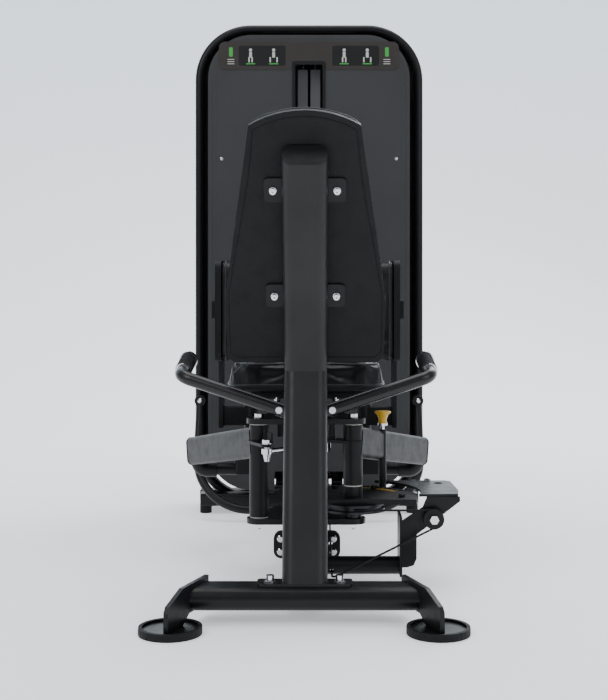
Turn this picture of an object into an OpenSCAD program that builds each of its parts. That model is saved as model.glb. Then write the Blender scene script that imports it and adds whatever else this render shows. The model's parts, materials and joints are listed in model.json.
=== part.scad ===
// Hip abductor machine: a seated leg machine with a bent seat column, two swinging leg arms joined by a
// tie rod, swivelling knee pads, a cable drive and a shrouded weight tower.
// Millimetres. +Z is up, +Y runs from the rear feet to the tower, +X is the start selector's side.
// The origin is on the floor, at the middle of the overall length and width.

/* [Overall] */
// Overall length, rear feet to far shroud
overall_l = 1662; // [1500:1:1950]
// Overall width of the weight tower
overall_w = 743; // [700:1:880]
// Overall height of the weight tower
overall_h = 1585; // [1350:1:1850]

/* [Rear stand] */
// Long side of the flat-oval frame tube
tube_l = 100; // [90:1:118]
// Short side of the flat-oval frame tube
tube_w = 50; // [42:1:58]
// Wall of the frame tubes
tube_wall = 3; // [2:0.5:4]
// Width of the rear stabiliser, at its near edge
stand_w = 492; // [420:1:580]
// Height of the stabiliser's underside above the floor
stand_clear = 29; // [24:1:36]
// Diameter of a rubber foot
foot_d = 134; // [110:1:150]
// Thickness of the foot bracket plates
foot_plate_t = 10; // [8:1:12]

/* [Seat column] */
// Height of the bend in the seat column
post_bend_z = 532; // [500:1:570]
// Height of the top of the seat column
post_top_z = 1006; // [900:1:1100]
// Width of the back shell at its widest
back_w = 370; // [310:1:440]
// Length of the back shell along its slope
back_l = 615; // [520:1:700]
// Thickness of the back cushion
back_pad_t = 52; // [40:1:62]
// Width of the seat cushion
seat_w = 394; // [330:1:420]
// Depth of the seat cushion
seat_d = 412; // [350:1:430]
// Thickness of the seat cushion
seat_t = 75; // [60:1:90]

/* [Side handles] */
// Diameter of the handle tube
handle_d = 32; // [25:1:38]
// Diameter of the rubber grip
grip_d = 40; // [40:1:48]
// Length of the rubber grip
grip_l = 118; // [90:1:140]

/* [Leg arms] */
// Distance from the middle to each pivot
pivot_x = 113.4; // [100:0.1:126]
// Diameter of the pivot shafts
shaft_d = 25; // [20:1:28]
// Outside diameter of the arm hubs
hub_d = 47; // [42:1:54]
// Height of the arm's box tube
arm_h = 75; // [62:1:80]
// Width of the arm's box tube
arm_w = 50; // [40:1:58]
// Length of the tie rod lugs, pivot to bolt
lug_r = 75; // [66:1:80]
// Running clearance on each side of a shaft
run_fit = 0.05; // [0.02:0.01:0.08]

/* [Selector] */
// Radius of the selector plate
selector_r = 158; // [155:1:160]
// Radius on which the index holes lie
index_r = 143; // [138:1:145]
// Number of index holes
index_n = 7; // [3:2:9]
// Angle between index holes
index_pitch = 8; // [7:0.5:9]
// Radius of the cable drum under the selector plate
drum_r = 70; // [60:1:72]

/* [Knee pads] */
// Height of a knee pad
knee_h = 279; // [230:1:320]
// Width of a knee pad, front to back
knee_w = 200; // [160:1:205]
// Thickness of a knee cushion
knee_t = 52; // [40:1:62]
// Diameter of the carrier's swivel spindle
spindle_d = 25; // [20:1:28]

/* [Weight tower] */
// Width of the hoop tube seen from the seat
hoop_t = 28; // [24:1:34]
// Depth of the hoop tube
hoop_d = 60; // [50:1:70]
// Outer radius of the hoop's top corners
hoop_r = 180; // [150:1:220]
// Gap between hoop and near shroud
shroud_gap = 20; // [14:1:26]
// Width of the slot in the near shroud
slot_w = 88; // [70:1:110]
// Number of resting weight plates
plate_n = 14; // [8:1:18]
// Thickness of a weight plate
plate_t = 25; // [20:1:28]
// Diameter of the steel cable
cable_d = 5; // [4:0.5:6]

/* [Hidden] */
$fn = 48;

// --- shared clearances and small sizes
gap = 0.3;              // between faces that pass each other on different bodies
groove_gap = 1.5;       // between the cable and the bottom of a pulley's groove
seat_gap = 0.2;         // between a cushion and the board that carries it
m12 = 12;               // screw that holds the frame together
m12_head = 18;          // its head
m12_hex = 19;           // hexagon of an M12 nut or bolt
m8 = 8;
m8_head = 14;
weld = 0.02;            // overlap of a straight leg with its bend
plate_6 = 6;            // thin steel plate
plate_13 = 13;          // hub plates
blend = 10;             // rounding of plate corners

// --- places along the machine
rear_y = -overall_l / 2;
foot_y = rear_y + foot_d / 2;
stab_y = rear_y + 167;
pivot_y = stab_y + 284;
far_y = overall_l / 2;
hoop_y = far_y - 201;               // hoop's near face
stack_y = hoop_y + 65;              // middle of the weight stack

// --- rear stand
splay = 19;                         // splay of the foot brackets
stab_z = stand_clear + tube_w / 2;
foot_h = 16;
foot_x = stand_w / 2 + 35;
disc_r = foot_d / 2 - 8;

// --- seat column
post_foot = [0, stab_y, stand_clear + tube_w + plate_6];
post_bend = [0, stab_y + 184, post_bend_z];
post_tip = [0, stab_y - 29, post_top_z];
recline = atan2(post_bend[1] - post_tip[1], post_tip[2] - post_bend[2]);
back_plane = tube_w / 2 + plate_6;  // post's middle to the back shell's rear face
cut_tilt = 45;                      // slant of the cut at the top of the column
cap_t = 9;
back_foot = 5;                      // shell's lower edge above the bend, along the slope
shell_t = 14;
back_end_w = 244 / 370 * back_w;
seat_top = 547;
seat_z = seat_top - seat_t;
seat_rear = stab_y + 264;
seat_front = seat_rear + seat_d;
board_t = 12;
carrier_z = seat_z - board_t - seat_gap;    // top face of the seat carrier
seat_plate_t = 8;
spine_w = 80;
seat_bolts = [for (s = [-1, 1], y = [seat_rear + 65, seat_front - 130]) [s * 71, y]];

// --- hub, arms and tie rod
top_plate_z = 398;
low_plate_z = 158;
hub_top = top_plate_z - gap;
low_top = low_plate_z + plate_13;
bush_flange = 3;
bush_wall = 4;
bush_r = shaft_d / 2 + bush_wall;
collar_top = 247;
selector_z = 210;
selector_t = 12;
drum_t = 20;
hub_plate_w = 2 * pivot_x + 60;
arm_lean = 27;                      // arm's heading, outward from straight ahead
arm_root_z = 353;
corner = [306, pivot_y + 400, 277];
arm_tip = [306, pivot_y + 500, 262];
swivel_x = 158;
swivel_y = arm_tip[1];
cross_z = 216;
elbow_d = 45;
cross_d = 34;
block_x = 205;
block_top = 300;
spindle_top = 392;
drain_d = 8;                        // drain holes under the arm's box tube

swing = 45;                         // travel of each arm
lug_mid = acos(2 * lug_r * 0.96 / (2 * pivot_x));
lug_left_a = -(lug_mid + swing / 2);
lug_right_a = 180 - lug_mid + swing / 2;
lug_t = 7;
lug_z = 350;
rod_z = 340;
rod_d = 12;
eye_d = 26;
eye_t = 12;
left_pin = [-pivot_x + lug_r * cos(lug_left_a), pivot_y + lug_r * sin(lug_left_a), rod_z];
right_pin = [pivot_x + lug_r * cos(lug_right_a), pivot_y + lug_r * sin(lug_right_a), rod_z];
bumper_r = 7.5;
bumper_x = 62;
bumper_h = 32;
bumper_reach = pivot_x - bumper_x;
tab_t = 6;
tab_half = asin((bumper_r + tab_t / 2 + gap) / bumper_reach);

// --- selector
index_a = 57;
index_d = 10;
index_clear = 0.2;
housing_d = 19;
housing_top = 369;
knob_z = 385;
pin_x = pivot_x + index_r * cos(index_a);
pin_y = pivot_y + index_r * sin(index_a);
chord_y = 50;                       // selector plate is cut this far behind the pivot
stud_r = 118;

// --- pads
pad_inner = 186;
bar_x = pad_inner + knee_t;         // cushion meets the shell here
bar_t = 12;
bar_w = 60;
shell_side = bar_t + 5;
knee_z = 522;
bar_bottom = 332;
box_z = 338;
box_h = 50;
boss_w = 55;
boss_t = 15;

// --- side bracket and pulleys
cable_y = pivot_y - drum_r;         // plane of the cable between drum and beam
cable_z = selector_z - drum_t / 2;
redirect_r = 20;
redirect_x = 302;
redirect_z = cable_z - redirect_r;
beam_pulley_r = 22;
cable_x = 62;
cable_low = 39;
run_fall = atan2(redirect_z - redirect_r * 0.9 - cable_low, redirect_x - cable_x);
side_tube_d = 43;
side_tube_y = pivot_y + 5;
side_tube_z = 54;
side_x = 226;
fan_z = 229;
port_d = 12;

// --- tower
hoop_w = overall_w;
hoop_low = 24;
shroud_w = hoop_w - 2 * (hoop_t + shroud_gap);
shroud_z0 = 77;
shroud_z1 = overall_h - hoop_t - shroud_gap;
shroud_y0 = hoop_y - 65;
shroud_wall = 4;
shroud_r = hoop_r - hoop_t - shroud_gap + 8;
slot_top = shroud_z1 - 95;
slot_low = 180;
placard_z = shroud_z1 - 112;
placard_h = 90;
loop_t = 27;
loop_top = 365;
loop_low = 37;
loop_lean_y = 190;
loop_r = 170;
loop_boss = 10;                     // boss at the loop's top, in front of its tube
tower_r = 34;
rail_z = 36;
rail_d = 60;
rail_y = hoop_y - rail_d;           // near face of the front cross rail
front_rail_h = 40;
tray_t = 12;
tray_z = hoop_low + hoop_t + tray_t;
tower_pulley_y = stack_y + 60 - tower_r;
tower_pulley_z = 140;
top_r = 30;
crosshead_z = shroud_z1 - 22;
crosshead_w = 300;
top_pulley_z = crosshead_z - 38;
rise_y = stack_y + 2 * top_r;
guide_x = 92;
guide_d = 19;
plate_w = 240;
plate_d = 76;
stack_z0 = 190;
rest_top = stack_z0 + plate_n * plate_t;
lifted_h = 55;
lift = drum_r * swing * PI / 180;

// ---------------------------------------------------------------- helpers

// Flat-oval section, long side along x.
module oval(l, w) {
  square([l - w, w], center = true);
  for (s = [-1, 1]) translate([s * (l - w) / 2, 0]) circle(d = w);
}

// Hollow flat-oval section.
module oval_tube(l, w, wall) {
  difference() {
    oval(l, w);
    oval(l - 2 * wall, w - 2 * wall);
  }
}

// Rectangle with round corners, centred.
module round_rect(l, w, r) {
  square([l - 2 * r, w], center = true);
  square([l, w - 2 * r], center = true);
  for (x = [-1, 1], y = [-1, 1]) translate([x * (l / 2 - r), y * (w / 2 - r)]) circle(r = r);
}

// Hollow round-cornered box section.
module round_box(l, w, r, wall) {
  difference() {
    round_rect(l, w, r);
    round_rect(l - 2 * wall, w - 2 * wall, r - wall);
  }
}

// Hollow round section.
module ring(d, wall) {
  difference() {
    circle(d = d);
    circle(d = d - 2 * wall);
  }
}

function unit(v) = v / norm(v);

// Frame whose z runs along w, with y as near to up as it can be.
function frame_of(w, up, at) =
  let (x = unit(cross(up, w)), y = cross(w, x))
  [[x[0], y[0], w[0], at[0]], [x[1], y[1], w[1], at[1]], [x[2], y[2], w[2], at[2]], [0, 0, 0, 1]];

// Extrudes the child section from one point to another.
module run(from, to, up = [0, 0, 1]) {
  w = unit(to - from);
  side = abs(w * up) > 0.999 ? [0, 1, 0] : up;
  multmatrix(frame_of(w, side, from)) linear_extrude(norm(to - from)) children();
}

// Bends the child section around a corner of a path.
module elbow(at, from, to, r) {
  a = unit(at - from);
  b = unit(to - at);
  turn = acos(a * b);
  n = unit(cross(a, b));
  centre = at + unit(b - a) * (r / cos(turn / 2));
  x = unit(at - a * (r * tan(turn / 2)) - centre);
  y = cross(n, x);
  multmatrix([[x[0], y[0], n[0], centre[0]], [x[1], y[1], n[1], centre[1]],
              [x[2], y[2], n[2], centre[2]], [0, 0, 0, 1]])
    rotate_extrude(angle = turn) translate([r, 0]) children();
}

// Length that a bend takes from each leg at a corner of a path.
function bend_cut(p, i, r) =
  i == 0 || i == len(p) - 1 ? 0 :
  let (t = acos(unit(p[i] - p[i - 1]) * unit(p[i + 1] - p[i]))) r[i] * tan(t / 2);

// Section along a path of points, with a bend radius at each inner point. The section's x is the
// direction of the bend, so a path that lies in a plane takes that plane's normal as up.
module pipe(p, r, up = [0, 0, 1], lap = weld) {
  for (i = [0 : len(p) - 2]) {
    w = unit(p[i + 1] - p[i]);
    from = p[i] + w * bend_cut(p, i, r);
    to = p[i + 1] - w * bend_cut(p, i + 1, r);
    if ((to - from) * w > 0.05) run(from - w * (i > 0 ? lap : 0), to + w * (i < len(p) - 2 ? lap : 0), up) children();
  }
  for (i = [1 : len(p) - 2]) elbow(p[i], p[i - 1], p[i + 1], r[i]) children();
}

// Copies the children at both sides, the left one mirrored.
module both_sides() {
  for (s = [0, 1]) mirror([s, 0, 0]) children();
}

// Cap screw with washer: head on +z, shank below.
module cap_screw(d, head, shank) {
  cylinder(d = d * 2, h = 2);
  difference() {
    translate([0, 0, 2]) cylinder(d = head, h = d);
    translate([0, 0, d / 2 + 2]) cylinder(d = d * 0.75, h = d, $fn = 6);
  }
  translate([0, 0, -shank]) cylinder(d = d, h = shank);
}

// Hexagon bolt with washer: head on +z, shank below.
module hex_bolt(d, hex, shank) {
  cylinder(d = d * 2, h = 2);
  translate([0, 0, 2]) cylinder(d = hex / cos(30), h = d * 0.65, $fn = 6);
  translate([0, 0, -shank]) cylinder(d = d, h = shank);
}

// Domed button bolt: head on +z, shank below.
module button_bolt(d, shank) {
  cylinder(d = d * 1.9, h = d * 0.3);
  translate([0, 0, d * 0.3]) cylinder(d1 = d * 1.9, d2 = d * 1.1, h = d * 0.3);
  translate([0, 0, -shank]) cylinder(d = d, h = shank);
}

// ---------------------------------------------------------------- rear stand

stand_bolt_x = 76;

// Places children on the upper face of the base plate, at its two screws.
module at_stand_bolts() {
  for (s = [-1, 1]) translate([s * stand_bolt_x, stab_y, stand_clear + tube_w + plate_6]) children();
}

module rear_stabiliser() {
  color("#2c2d2f") difference() {
    translate([-stand_w / 2, stab_y, stab_z]) rotate([90, 0, 90])
      linear_extrude(stand_w) oval_tube(tube_l, tube_w, tube_wall);
    both_sides() translate([stand_w / 2, stab_y - tube_l / 2, 0]) rotate([0, 0, splay])
      translate([0, -tube_l, 0]) cube([tube_l, 3 * tube_l, 4 * tube_w]);
    at_stand_bolts() translate([0, 0, -tube_w / 2]) cylinder(d = m12, h = tube_w);
  }
}

// Upright plate from the stabiliser's end to the foot, with the disc that the rubber foot holds.
module foot_brackets() {
  plate_l = 205;
  color("#2c2d2f") both_sides() {
    translate([stand_w / 2, stab_y - tube_l / 2, 0]) rotate([0, 0, splay])
      translate([foot_plate_t, -105, 0]) rotate([90, 0, -90]) mirror([1, 0, 0])
        linear_extrude(foot_plate_t)
          polygon([[0, 10], [70, 10], [105, stand_clear], [plate_l, stand_clear], [plate_l, stand_clear + 60],
                   [75, stand_clear + 60], [8, 66], [0, 55]]);
    translate([foot_x, foot_y, 8]) cylinder(r = disc_r, h = 3);
  }
}

module rear_feet() {
  color("#1b1b1c") both_sides() translate([foot_x, foot_y, 0]) difference() {
    cylinder(d = foot_d, h = foot_h);
    translate([0, 0, 8]) cylinder(r = disc_r, h = foot_h);
  }
}

module base_plate() {
  color("#303133") difference() {
    translate([0, stab_y, stand_clear + tube_w]) linear_extrude(plate_6) round_rect(208, 52, 8);
    at_stand_bolts() translate([0, 0, -2 * plate_6]) cylinder(d = m12, h = 3 * plate_6);
  }
}

// ---------------------------------------------------------------- seat column

// The child section along one leg of the column, mitred at the bend: -1 is the lower leg, 1 the upper.
module post_leg(side) {
  lean = unit(post_bend - post_foot);
  back = unit(post_tip - post_bend);
  mitre = atan2(lean[1] + back[1], lean[2] + back[2]);
  difference() {
    if (side < 0) run(post_foot - lean * tube_l / 2, post_bend + lean * tube_w, [1, 0, 0]) rotate(90) children();
    else run(post_bend - back * tube_w, post_tip + back * tube_l, [1, 0, 0]) rotate(90) children();
    translate(post_bend) rotate([-mitre, 0, 0]) translate([-tube_l, -2 * tube_l, side < 0 ? weld : -4 * tube_l])
      cube([2 * tube_l, 4 * tube_l, 4 * tube_l]);
  }
}

// The child section along both legs of the column.
module along_post() {
  post_leg(-1) children();
  post_leg(1) children();
}

// Block above the slanted cut at the top of the column, from one height over the cut to another.
module over_cut(from, to) {
  translate(post_tip) rotate([cut_tilt, 0, 0]) translate([-tube_l, -tube_l, from])
    cube([2 * tube_l, 2 * tube_l, to - from]);
}

module seat_post() {
  color("#38393b") difference() {
    along_post() oval_tube(tube_l, tube_w, tube_wall);
    translate([-tube_l, stab_y - tube_l, post_foot[2] - 2 * tube_l]) cube([2 * tube_l, 2 * tube_l, 2 * tube_l]);
    over_cut(0, 3 * tube_l);
  }
}

module post_cap() {
  color("#1d1e20") intersection() {
    post_leg(1) oval(tube_l, tube_w);
    over_cut(0, cap_t);
  }
}

// Frame of the backrest: origin at the bend, x across, y up the slope, z forward out of the post.
module on_back() {
  translate(post_bend) rotate([90 + recline, 0, 0]) mirror([0, 0, 1]) children();
}

bracket_up = [435, 180];   // middles of the upper and lower brackets, up the slope
back_bolt_x = 71;

module back_brackets() {
  color("#2a2b2d") on_back() for (v = bracket_up) translate([0, v, tube_w / 2])
    difference() {
      linear_extrude(plate_6) round_rect(182, 56, blend);
      for (s = [-1, 1]) translate([s * back_bolt_x, 0, -1]) cylinder(d = m8, h = plate_6 + 2);
    }
}

// Outline of the backrest: wide below, straight tapered sides, arched top.
module back_outline(grow = 0) {
  w0 = back_w / 2 - 2 + grow;
  w1 = back_w / 2 + grow;
  w2 = back_end_w / 2 + grow;
  top = back_l + grow;
  low = back_foot - grow;
  arch = 34;
  r_top = (w2 * w2 + arch * arch) / (2 * arch);
  a_top = asin(w2 / r_top);
  polygon(concat(
    [[-w0 + 15, low], [w0 - 15, low], [w0, low + 15], [w1, low + 158], [w2, top - arch]],
    [for (i = [1 : 11]) let (a = a_top * (1 - i / 6)) [r_top * sin(a), top - r_top + r_top * cos(a)]],
    [[-w2, top - arch], [-w1, low + 158], [-w0, low + 15]]));
}

module back_shell() {
  color("#25282a") on_back() translate([0, 0, back_plane]) difference() {
    linear_extrude(shell_t) back_outline();
    for (v = bracket_up, s = [-1, 1]) translate([s * back_bolt_x, v, -1]) cylinder(d = m8, h = shell_t - 2);
  }
}

module back_cushion() {
  color("#3a3d41") on_back() translate([0, 0, back_plane + shell_t + seat_gap])
    linear_extrude(back_pad_t) back_outline(4);
}

// Seat frame: a box spine that meets the column, with the plate that the seat board is screwed to.
module seat_carrier() {
  spine_h = carrier_z - seat_plate_t - top_plate_z - plate_13;
  color("#2c2d2f") difference() {
    union() {
      run([0, post_bend[1] - 40, top_plate_z + plate_13 + spine_h / 2],
          [0, seat_front - 110, top_plate_z + plate_13 + spine_h / 2]) round_box(spine_w, spine_h, 8, tube_wall);
      translate([-100, pivot_y + 60, carrier_z - seat_plate_t]) cube([200, seat_d - 180, seat_plate_t]);
    }
    for (p = seat_bolts) translate([p[0], p[1], carrier_z - 20]) cylinder(d = m8, h = 40);
    along_post() oval(tube_l, tube_w);
  }
}

module seat_board() {
  color("#202122") translate([0, (seat_rear + seat_front) / 2, carrier_z])
    difference() {
      linear_extrude(board_t) round_rect(seat_w - 40, seat_d - 40, 50);
      for (p = seat_bolts) translate([p[0], p[1] - (seat_rear + seat_front) / 2, -1]) cylinder(d = m8, h = board_t - 2);
    }
}

module seat_cushion() {
  color("#3a3d41") translate([0, (seat_rear + seat_front) / 2, seat_z])
    linear_extrude(seat_t) round_rect(seat_w, seat_d, 60);
}

// ---------------------------------------------------------------- side handles

handle_root = [spine_w / 2, pivot_y - 84, 432];
grip_from = [300, pivot_y + 15, 521];
grip_dir = unit([0, 130, 20]);
handle_out = grip_from - grip_dir * 46;
handle_bolt = handle_root + unit(handle_out - handle_root) * 24;
handle_tail = handle_root - unit(handle_out - handle_root) * 12;     // cut flush with the spine
grip_end = grip_from + grip_dir * (grip_l + 14);

// The child section along the right handle, from the seat frame to the end of the grip.
module handle_path() {
  pipe([handle_tail, handle_out, grip_end], [0, 34, 0]) children();
}

module handle_right() {
  color("#232425") difference() {
    handle_path() circle(d = handle_d);
    translate([-spine_w / 2, handle_root[1] - spine_w, handle_root[2] - spine_w]) cube([spine_w, 2 * spine_w, 2 * spine_w]);
  }
}

module handle_left() {
  mirror([1, 0, 0]) handle_right();
}

// Sleeve on the handle, from one distance along the grip to another.
module sleeve(from, to, d) {
  run(grip_from + grip_dir * from, grip_from + grip_dir * to) ring(d, (d - handle_d) / 2 - run_fit);
}

module hand_grips() {
  color("#161718") both_sides() sleeve(8, 8 + grip_l, grip_d);
}

module grip_rings() {
  color("#c9ccd0") both_sides() {
    sleeve(0, 8, grip_d - 1);
    sleeve(8 + grip_l, 14 + grip_l, grip_d + 7);
    run(grip_from + grip_dir * (14 + grip_l), grip_from + grip_dir * (18 + grip_l)) circle(d = grip_d + 7);
  }
}

// ---------------------------------------------------------------- floor beam and hub

joint_y = pivot_y + 240;            // bolted joint between the two halves of the floor beam
joint_t = 10;
joint_bolts = [[-68.5, -17], [68.5, -17], [-68.5, 17], [68.5, 17]];
column_y = pivot_y + sqrt(pow(selector_r + 6, 2) - pow(pivot_x - 40, 2)) + 30;

// Cuts the hole that the cable passes through.
module cable_port(from, to) {
  translate([cable_x, from, cable_low + (from + to - 2 * cable_y) / 2 * rise_slope]) rotate([-90, 0, 0])
    cylinder(d = port_d, h = to - from);
}

rise_slope = (tower_pulley_z - tower_r - cable_low) / (tower_pulley_y - cable_y);

module main_beam() {
  color("#2c2d2f") difference() {
    union() {
      translate([0, stab_y + tube_l / 2, stab_z]) rotate([-90, 0, 0])
        linear_extrude(rail_y - joint_t - stab_y - tube_l / 2) oval_tube(tube_l, tube_w, tube_wall);
      translate([0, rail_y - joint_t, stab_z]) rotate([-90, 0, 0]) linear_extrude(joint_t)
        round_rect(208, 56, 16);
      for (y = [-joint_t, gap]) translate([0, joint_y + y, stab_z]) rotate([-90, 0, 0])
        linear_extrude(joint_t) round_rect(174, 70, 20);
    }
    cable_port(joint_y - 2 * joint_t, joint_y + 2 * joint_t);
    translate([-hoop_w / 2, hoop_y - loop_lean_y, loop_low]) rotate([0, 90, 0]) cylinder(d = loop_t, h = hoop_w);
    for (b = joint_bolts) translate([b[0], joint_y - 2 * joint_t, stab_z + b[1]]) rotate([-90, 0, 0])
      cylinder(d = 10, h = 4 * joint_t);
  }
}

module front_column() {
  color("#2c2d2f") {
    translate([0, column_y, stand_clear + tube_w]) linear_extrude(low_plate_z - stand_clear - tube_w)
      round_box(80, 60, 12, tube_wall);
    translate([0, column_y, low_top]) linear_extrude(top_plate_z - low_top) round_box(80, 60, 12, tube_wall);
  }
}

// Outline of a hub plate: round ends over the pivots, drawn in to the front column.
module hub_outline() {
  hull() {
    for (s = [-1, 1]) translate([s * pivot_x, pivot_y]) circle(r = 30, $fn = 32);
    for (s = [-1, 1]) translate([s * 35, column_y + 25]) circle(r = 15, $fn = 32);
  }
}

module hub_plate(z) {
  difference() {
    translate([0, 0, z]) linear_extrude(plate_13) hub_outline();
    both_sides() translate([pivot_x, pivot_y, z - 1]) cylinder(d = m12, h = plate_13 + 2);
  }
}

module hub_plate_upper() {
  color("#303133") hub_plate(top_plate_z);
}

module hub_plate_lower() {
  color("#303133") hub_plate(low_plate_z);
}

module pivot_shafts() {
  color("#8f9398") both_sides() translate([pivot_x, pivot_y, low_top]) difference() {
    cylinder(d = shaft_d, h = top_plate_z - low_top);
    translate([0, 0, -1]) cylinder(d = m12, h = top_plate_z - low_top + 2);
  }
}

module pivot_bolts() {
  color("#c9ccd0") both_sides() translate([pivot_x, pivot_y, 0]) {
    translate([0, 0, top_plate_z + plate_13]) hex_bolt(m12, m12_hex, top_plate_z + plate_13 - low_plate_z + 16);
    translate([0, 0, low_plate_z - 2]) cylinder(d = 2 * m12, h = 2);
    translate([0, 0, low_plate_z - 12]) cylinder(d = m12_hex / cos(30), h = 10, $fn = 6);
  }
}

module stop_bumpers() {
  color("#151515") both_sides() translate([bumper_x, pivot_y, top_plate_z - bumper_h]) {
    cylinder(r = bumper_r, h = bumper_h);
  }
}

// ---------------------------------------------------------------- leg arms

// Lug for the tie rod, pointing at angle a from the pivot, with a stop tab that meets its bumper at one limit.
module lug(a, tab_a) {
  difference() {
    union() {
      translate([0, 0, lug_z]) linear_extrude(lug_t) hull() {
        circle(d = hub_d + 8, $fn = 32);
        rotate(a) translate([lug_r, 0]) circle(r = 15, $fn = 32);
        rotate(tab_a) translate([bumper_reach, 0]) circle(r = 5, $fn = 32);
      }
      rotate(tab_a) translate([bumper_reach - 9, -tab_t / 2, lug_z]) cube([18, tab_t, 30]);
    }
    rotate(a) translate([lug_r, 0, lug_z - 1]) cylinder(d = m12, h = lug_t + 2);
  }
}

// The right arm without its hub, as a path of box tube, elbow and cross tube.
module arm_tube() {
  root = [pivot_x, pivot_y, arm_root_z];
  ahead = unit(arm_tip - corner);
  out = unit(corner - root);
  up = unit(cross(out, ahead));
  mitre = unit(out + ahead);
  side = 4 * arm_h;
  bead = 2;
  difference() {
    run(root, corner + out * arm_w, up) round_box(arm_w, arm_h, 14, 4);
    multmatrix(frame_of(mitre, up, corner - mitre * bead / 2)) translate([-side / 2, -side / 2, 0]) cube(side);
    translate((root + corner) / 2) mirror([0, 0, 1]) cylinder(d = drain_d, h = arm_h);
  }
  difference() {
    run(corner - ahead * arm_w, arm_tip, up) round_box(arm_w, arm_h, 14, 4);
    multmatrix(frame_of(-mitre, up, corner + mitre * bead / 2)) translate([-side / 2, -side / 2, 0]) cube(side);
    translate(corner + ahead * 26) mirror([0, 0, 1]) cylinder(d = drain_d, h = arm_h);
  }
  run(corner - mitre * bead, corner + mitre * bead, up)
    round_rect(arm_w / (out * mitre) + bead, arm_h + bead, 15);
  run(arm_tip - ahead * 6, arm_tip + ahead * 3, up) round_rect(arm_w - 3, arm_h - 3, 12.5);
  down = arm_tip - [0, 24, 10];
  pipe([down, [down[0], down[1], cross_z], [corner[0] - 50, down[1], cross_z]], [0, 24, 0], lap = 0) circle(d = elbow_d);
}

module arm(lug_a, tab_a, low) {
  cross_y = arm_tip[1] - 24;
  difference() {
    union() {
      arm_tube();
      translate([pivot_x, pivot_y, low + bush_flange]) cylinder(d = hub_d, h = hub_top - low - 2 * bush_flange);
      run([corner[0] - 45, cross_y, cross_z], [block_x - 5, cross_y, cross_z]) circle(d = cross_d);
      translate([swivel_x - 23, swivel_y - 45, cross_z - 12]) linear_extrude(block_top - cross_z + 12)
        translate([(block_x - swivel_x + 23) / 2, 34]) round_rect(block_x - swivel_x + 23, 68, blend);
      translate([swivel_x, swivel_y, block_top]) cylinder(d = spindle_d, h = spindle_top - block_top);
      translate([pivot_x, pivot_y, 0]) lug(lug_a, tab_a);
    }
    translate([pivot_x, pivot_y, 0]) cylinder(r = bush_r, h = 2 * hub_top);
  }
}

module arm_right() {
  color("#2e2f31") {
    difference() {
      union() {
        arm(lug_right_a, 180 - tab_half, collar_top + gap);
        translate([pin_x, pin_y, selector_z + selector_t + 3])
          cylinder(d = housing_d, h = housing_top - selector_z - selector_t - 3);
      }
      translate([pin_x, pin_y, 0]) cylinder(d = index_d + 2 * run_fit, h = 2 * housing_top);
    }
  }
}

module arm_left() {
  color("#2e2f31") mirror([1, 0, 0]) arm(180 - lug_left_a, 180 + swing + tab_half, low_top + gap);
}

// Flanged bushes at both ends of a hub.
module bushes(low) {
  for (end = [[low, 1], [hub_top, -1]]) translate([pivot_x, pivot_y, end[0]]) scale([1, 1, end[1]])
    difference() {
      union() {
        cylinder(d = hub_d - 3, h = bush_flange);
        cylinder(r = bush_r, h = 24);
      }
      translate([0, 0, -1]) cylinder(r = shaft_d / 2 + run_fit, h = 30);
    }
}

module bushes_right() {
  color("#d8d8d4") bushes(collar_top + gap);
}

module bushes_left() {
  color("#d8d8d4") mirror([1, 0, 0]) bushes(low_top + gap);
}

// Bolt through the left lug, with the cone and nut below the rod end.
module tie_bolt_left() {
  color("#c9ccd0") translate([left_pin[0], left_pin[1], 0]) {
    translate([0, 0, lug_z + lug_t]) hex_bolt(m12, m12_hex, lug_z + lug_t - rod_z + eye_t / 2 + 18);
    translate([0, 0, rod_z - eye_t / 2 - gap - 16]) cylinder(d1 = 12.1, d2 = 20, h = 16);
  }
}

// Rod with an eye at each end; the right end carries its own bolt, just under the right lug.
module tie_rod() {
  w = unit(right_pin - left_pin);
  color("#b9bcc0") {
    difference() {
      union() {
        run(left_pin + w * 8, right_pin - w * 8) circle(d = rod_d);
        for (p = [left_pin, right_pin]) translate(p - [0, 0, eye_t / 2]) cylinder(d = eye_d, h = eye_t);
      }
      translate(left_pin - [0, 0, eye_t]) cylinder(r = m12 / 2 + run_fit, h = 2 * eye_t);
    }
    translate(right_pin - [0, 0, eye_t / 2 + 9]) cylinder(d = m12_hex / cos(30), h = 9, $fn = 6);
  }
}

// ---------------------------------------------------------------- start selector

module selector_plate() {
  color("#343537") translate([pivot_x, pivot_y, 0]) difference() {
    union() {
      intersection() {
        translate([0, 0, selector_z]) cylinder(r = selector_r, h = selector_t, $fn = 96);
        translate([-2 * selector_r, -chord_y, 0]) cube([4 * selector_r, 3 * selector_r, 2 * selector_z]);
      }
      translate([0, 0, selector_z]) cylinder(d = hub_d, h = collar_top - selector_z);
    }
    translate([0, 0, 1]) cylinder(r = shaft_d / 2 + run_fit, h = 2 * collar_top);
    for (i = [0 : index_n - 1]) rotate(index_a + (i - (index_n - 1) / 2) * index_pitch)
      translate([index_r, 0, 0]) cylinder(r = index_d / 2 + index_clear, h = 2 * selector_z);
    for (a = stud_angles) rotate(a) translate([stud_r, 0, 0]) cylinder(d = m8, h = 2 * selector_z);
  }
}

stud_angles = [111, 62, -6];

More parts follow.
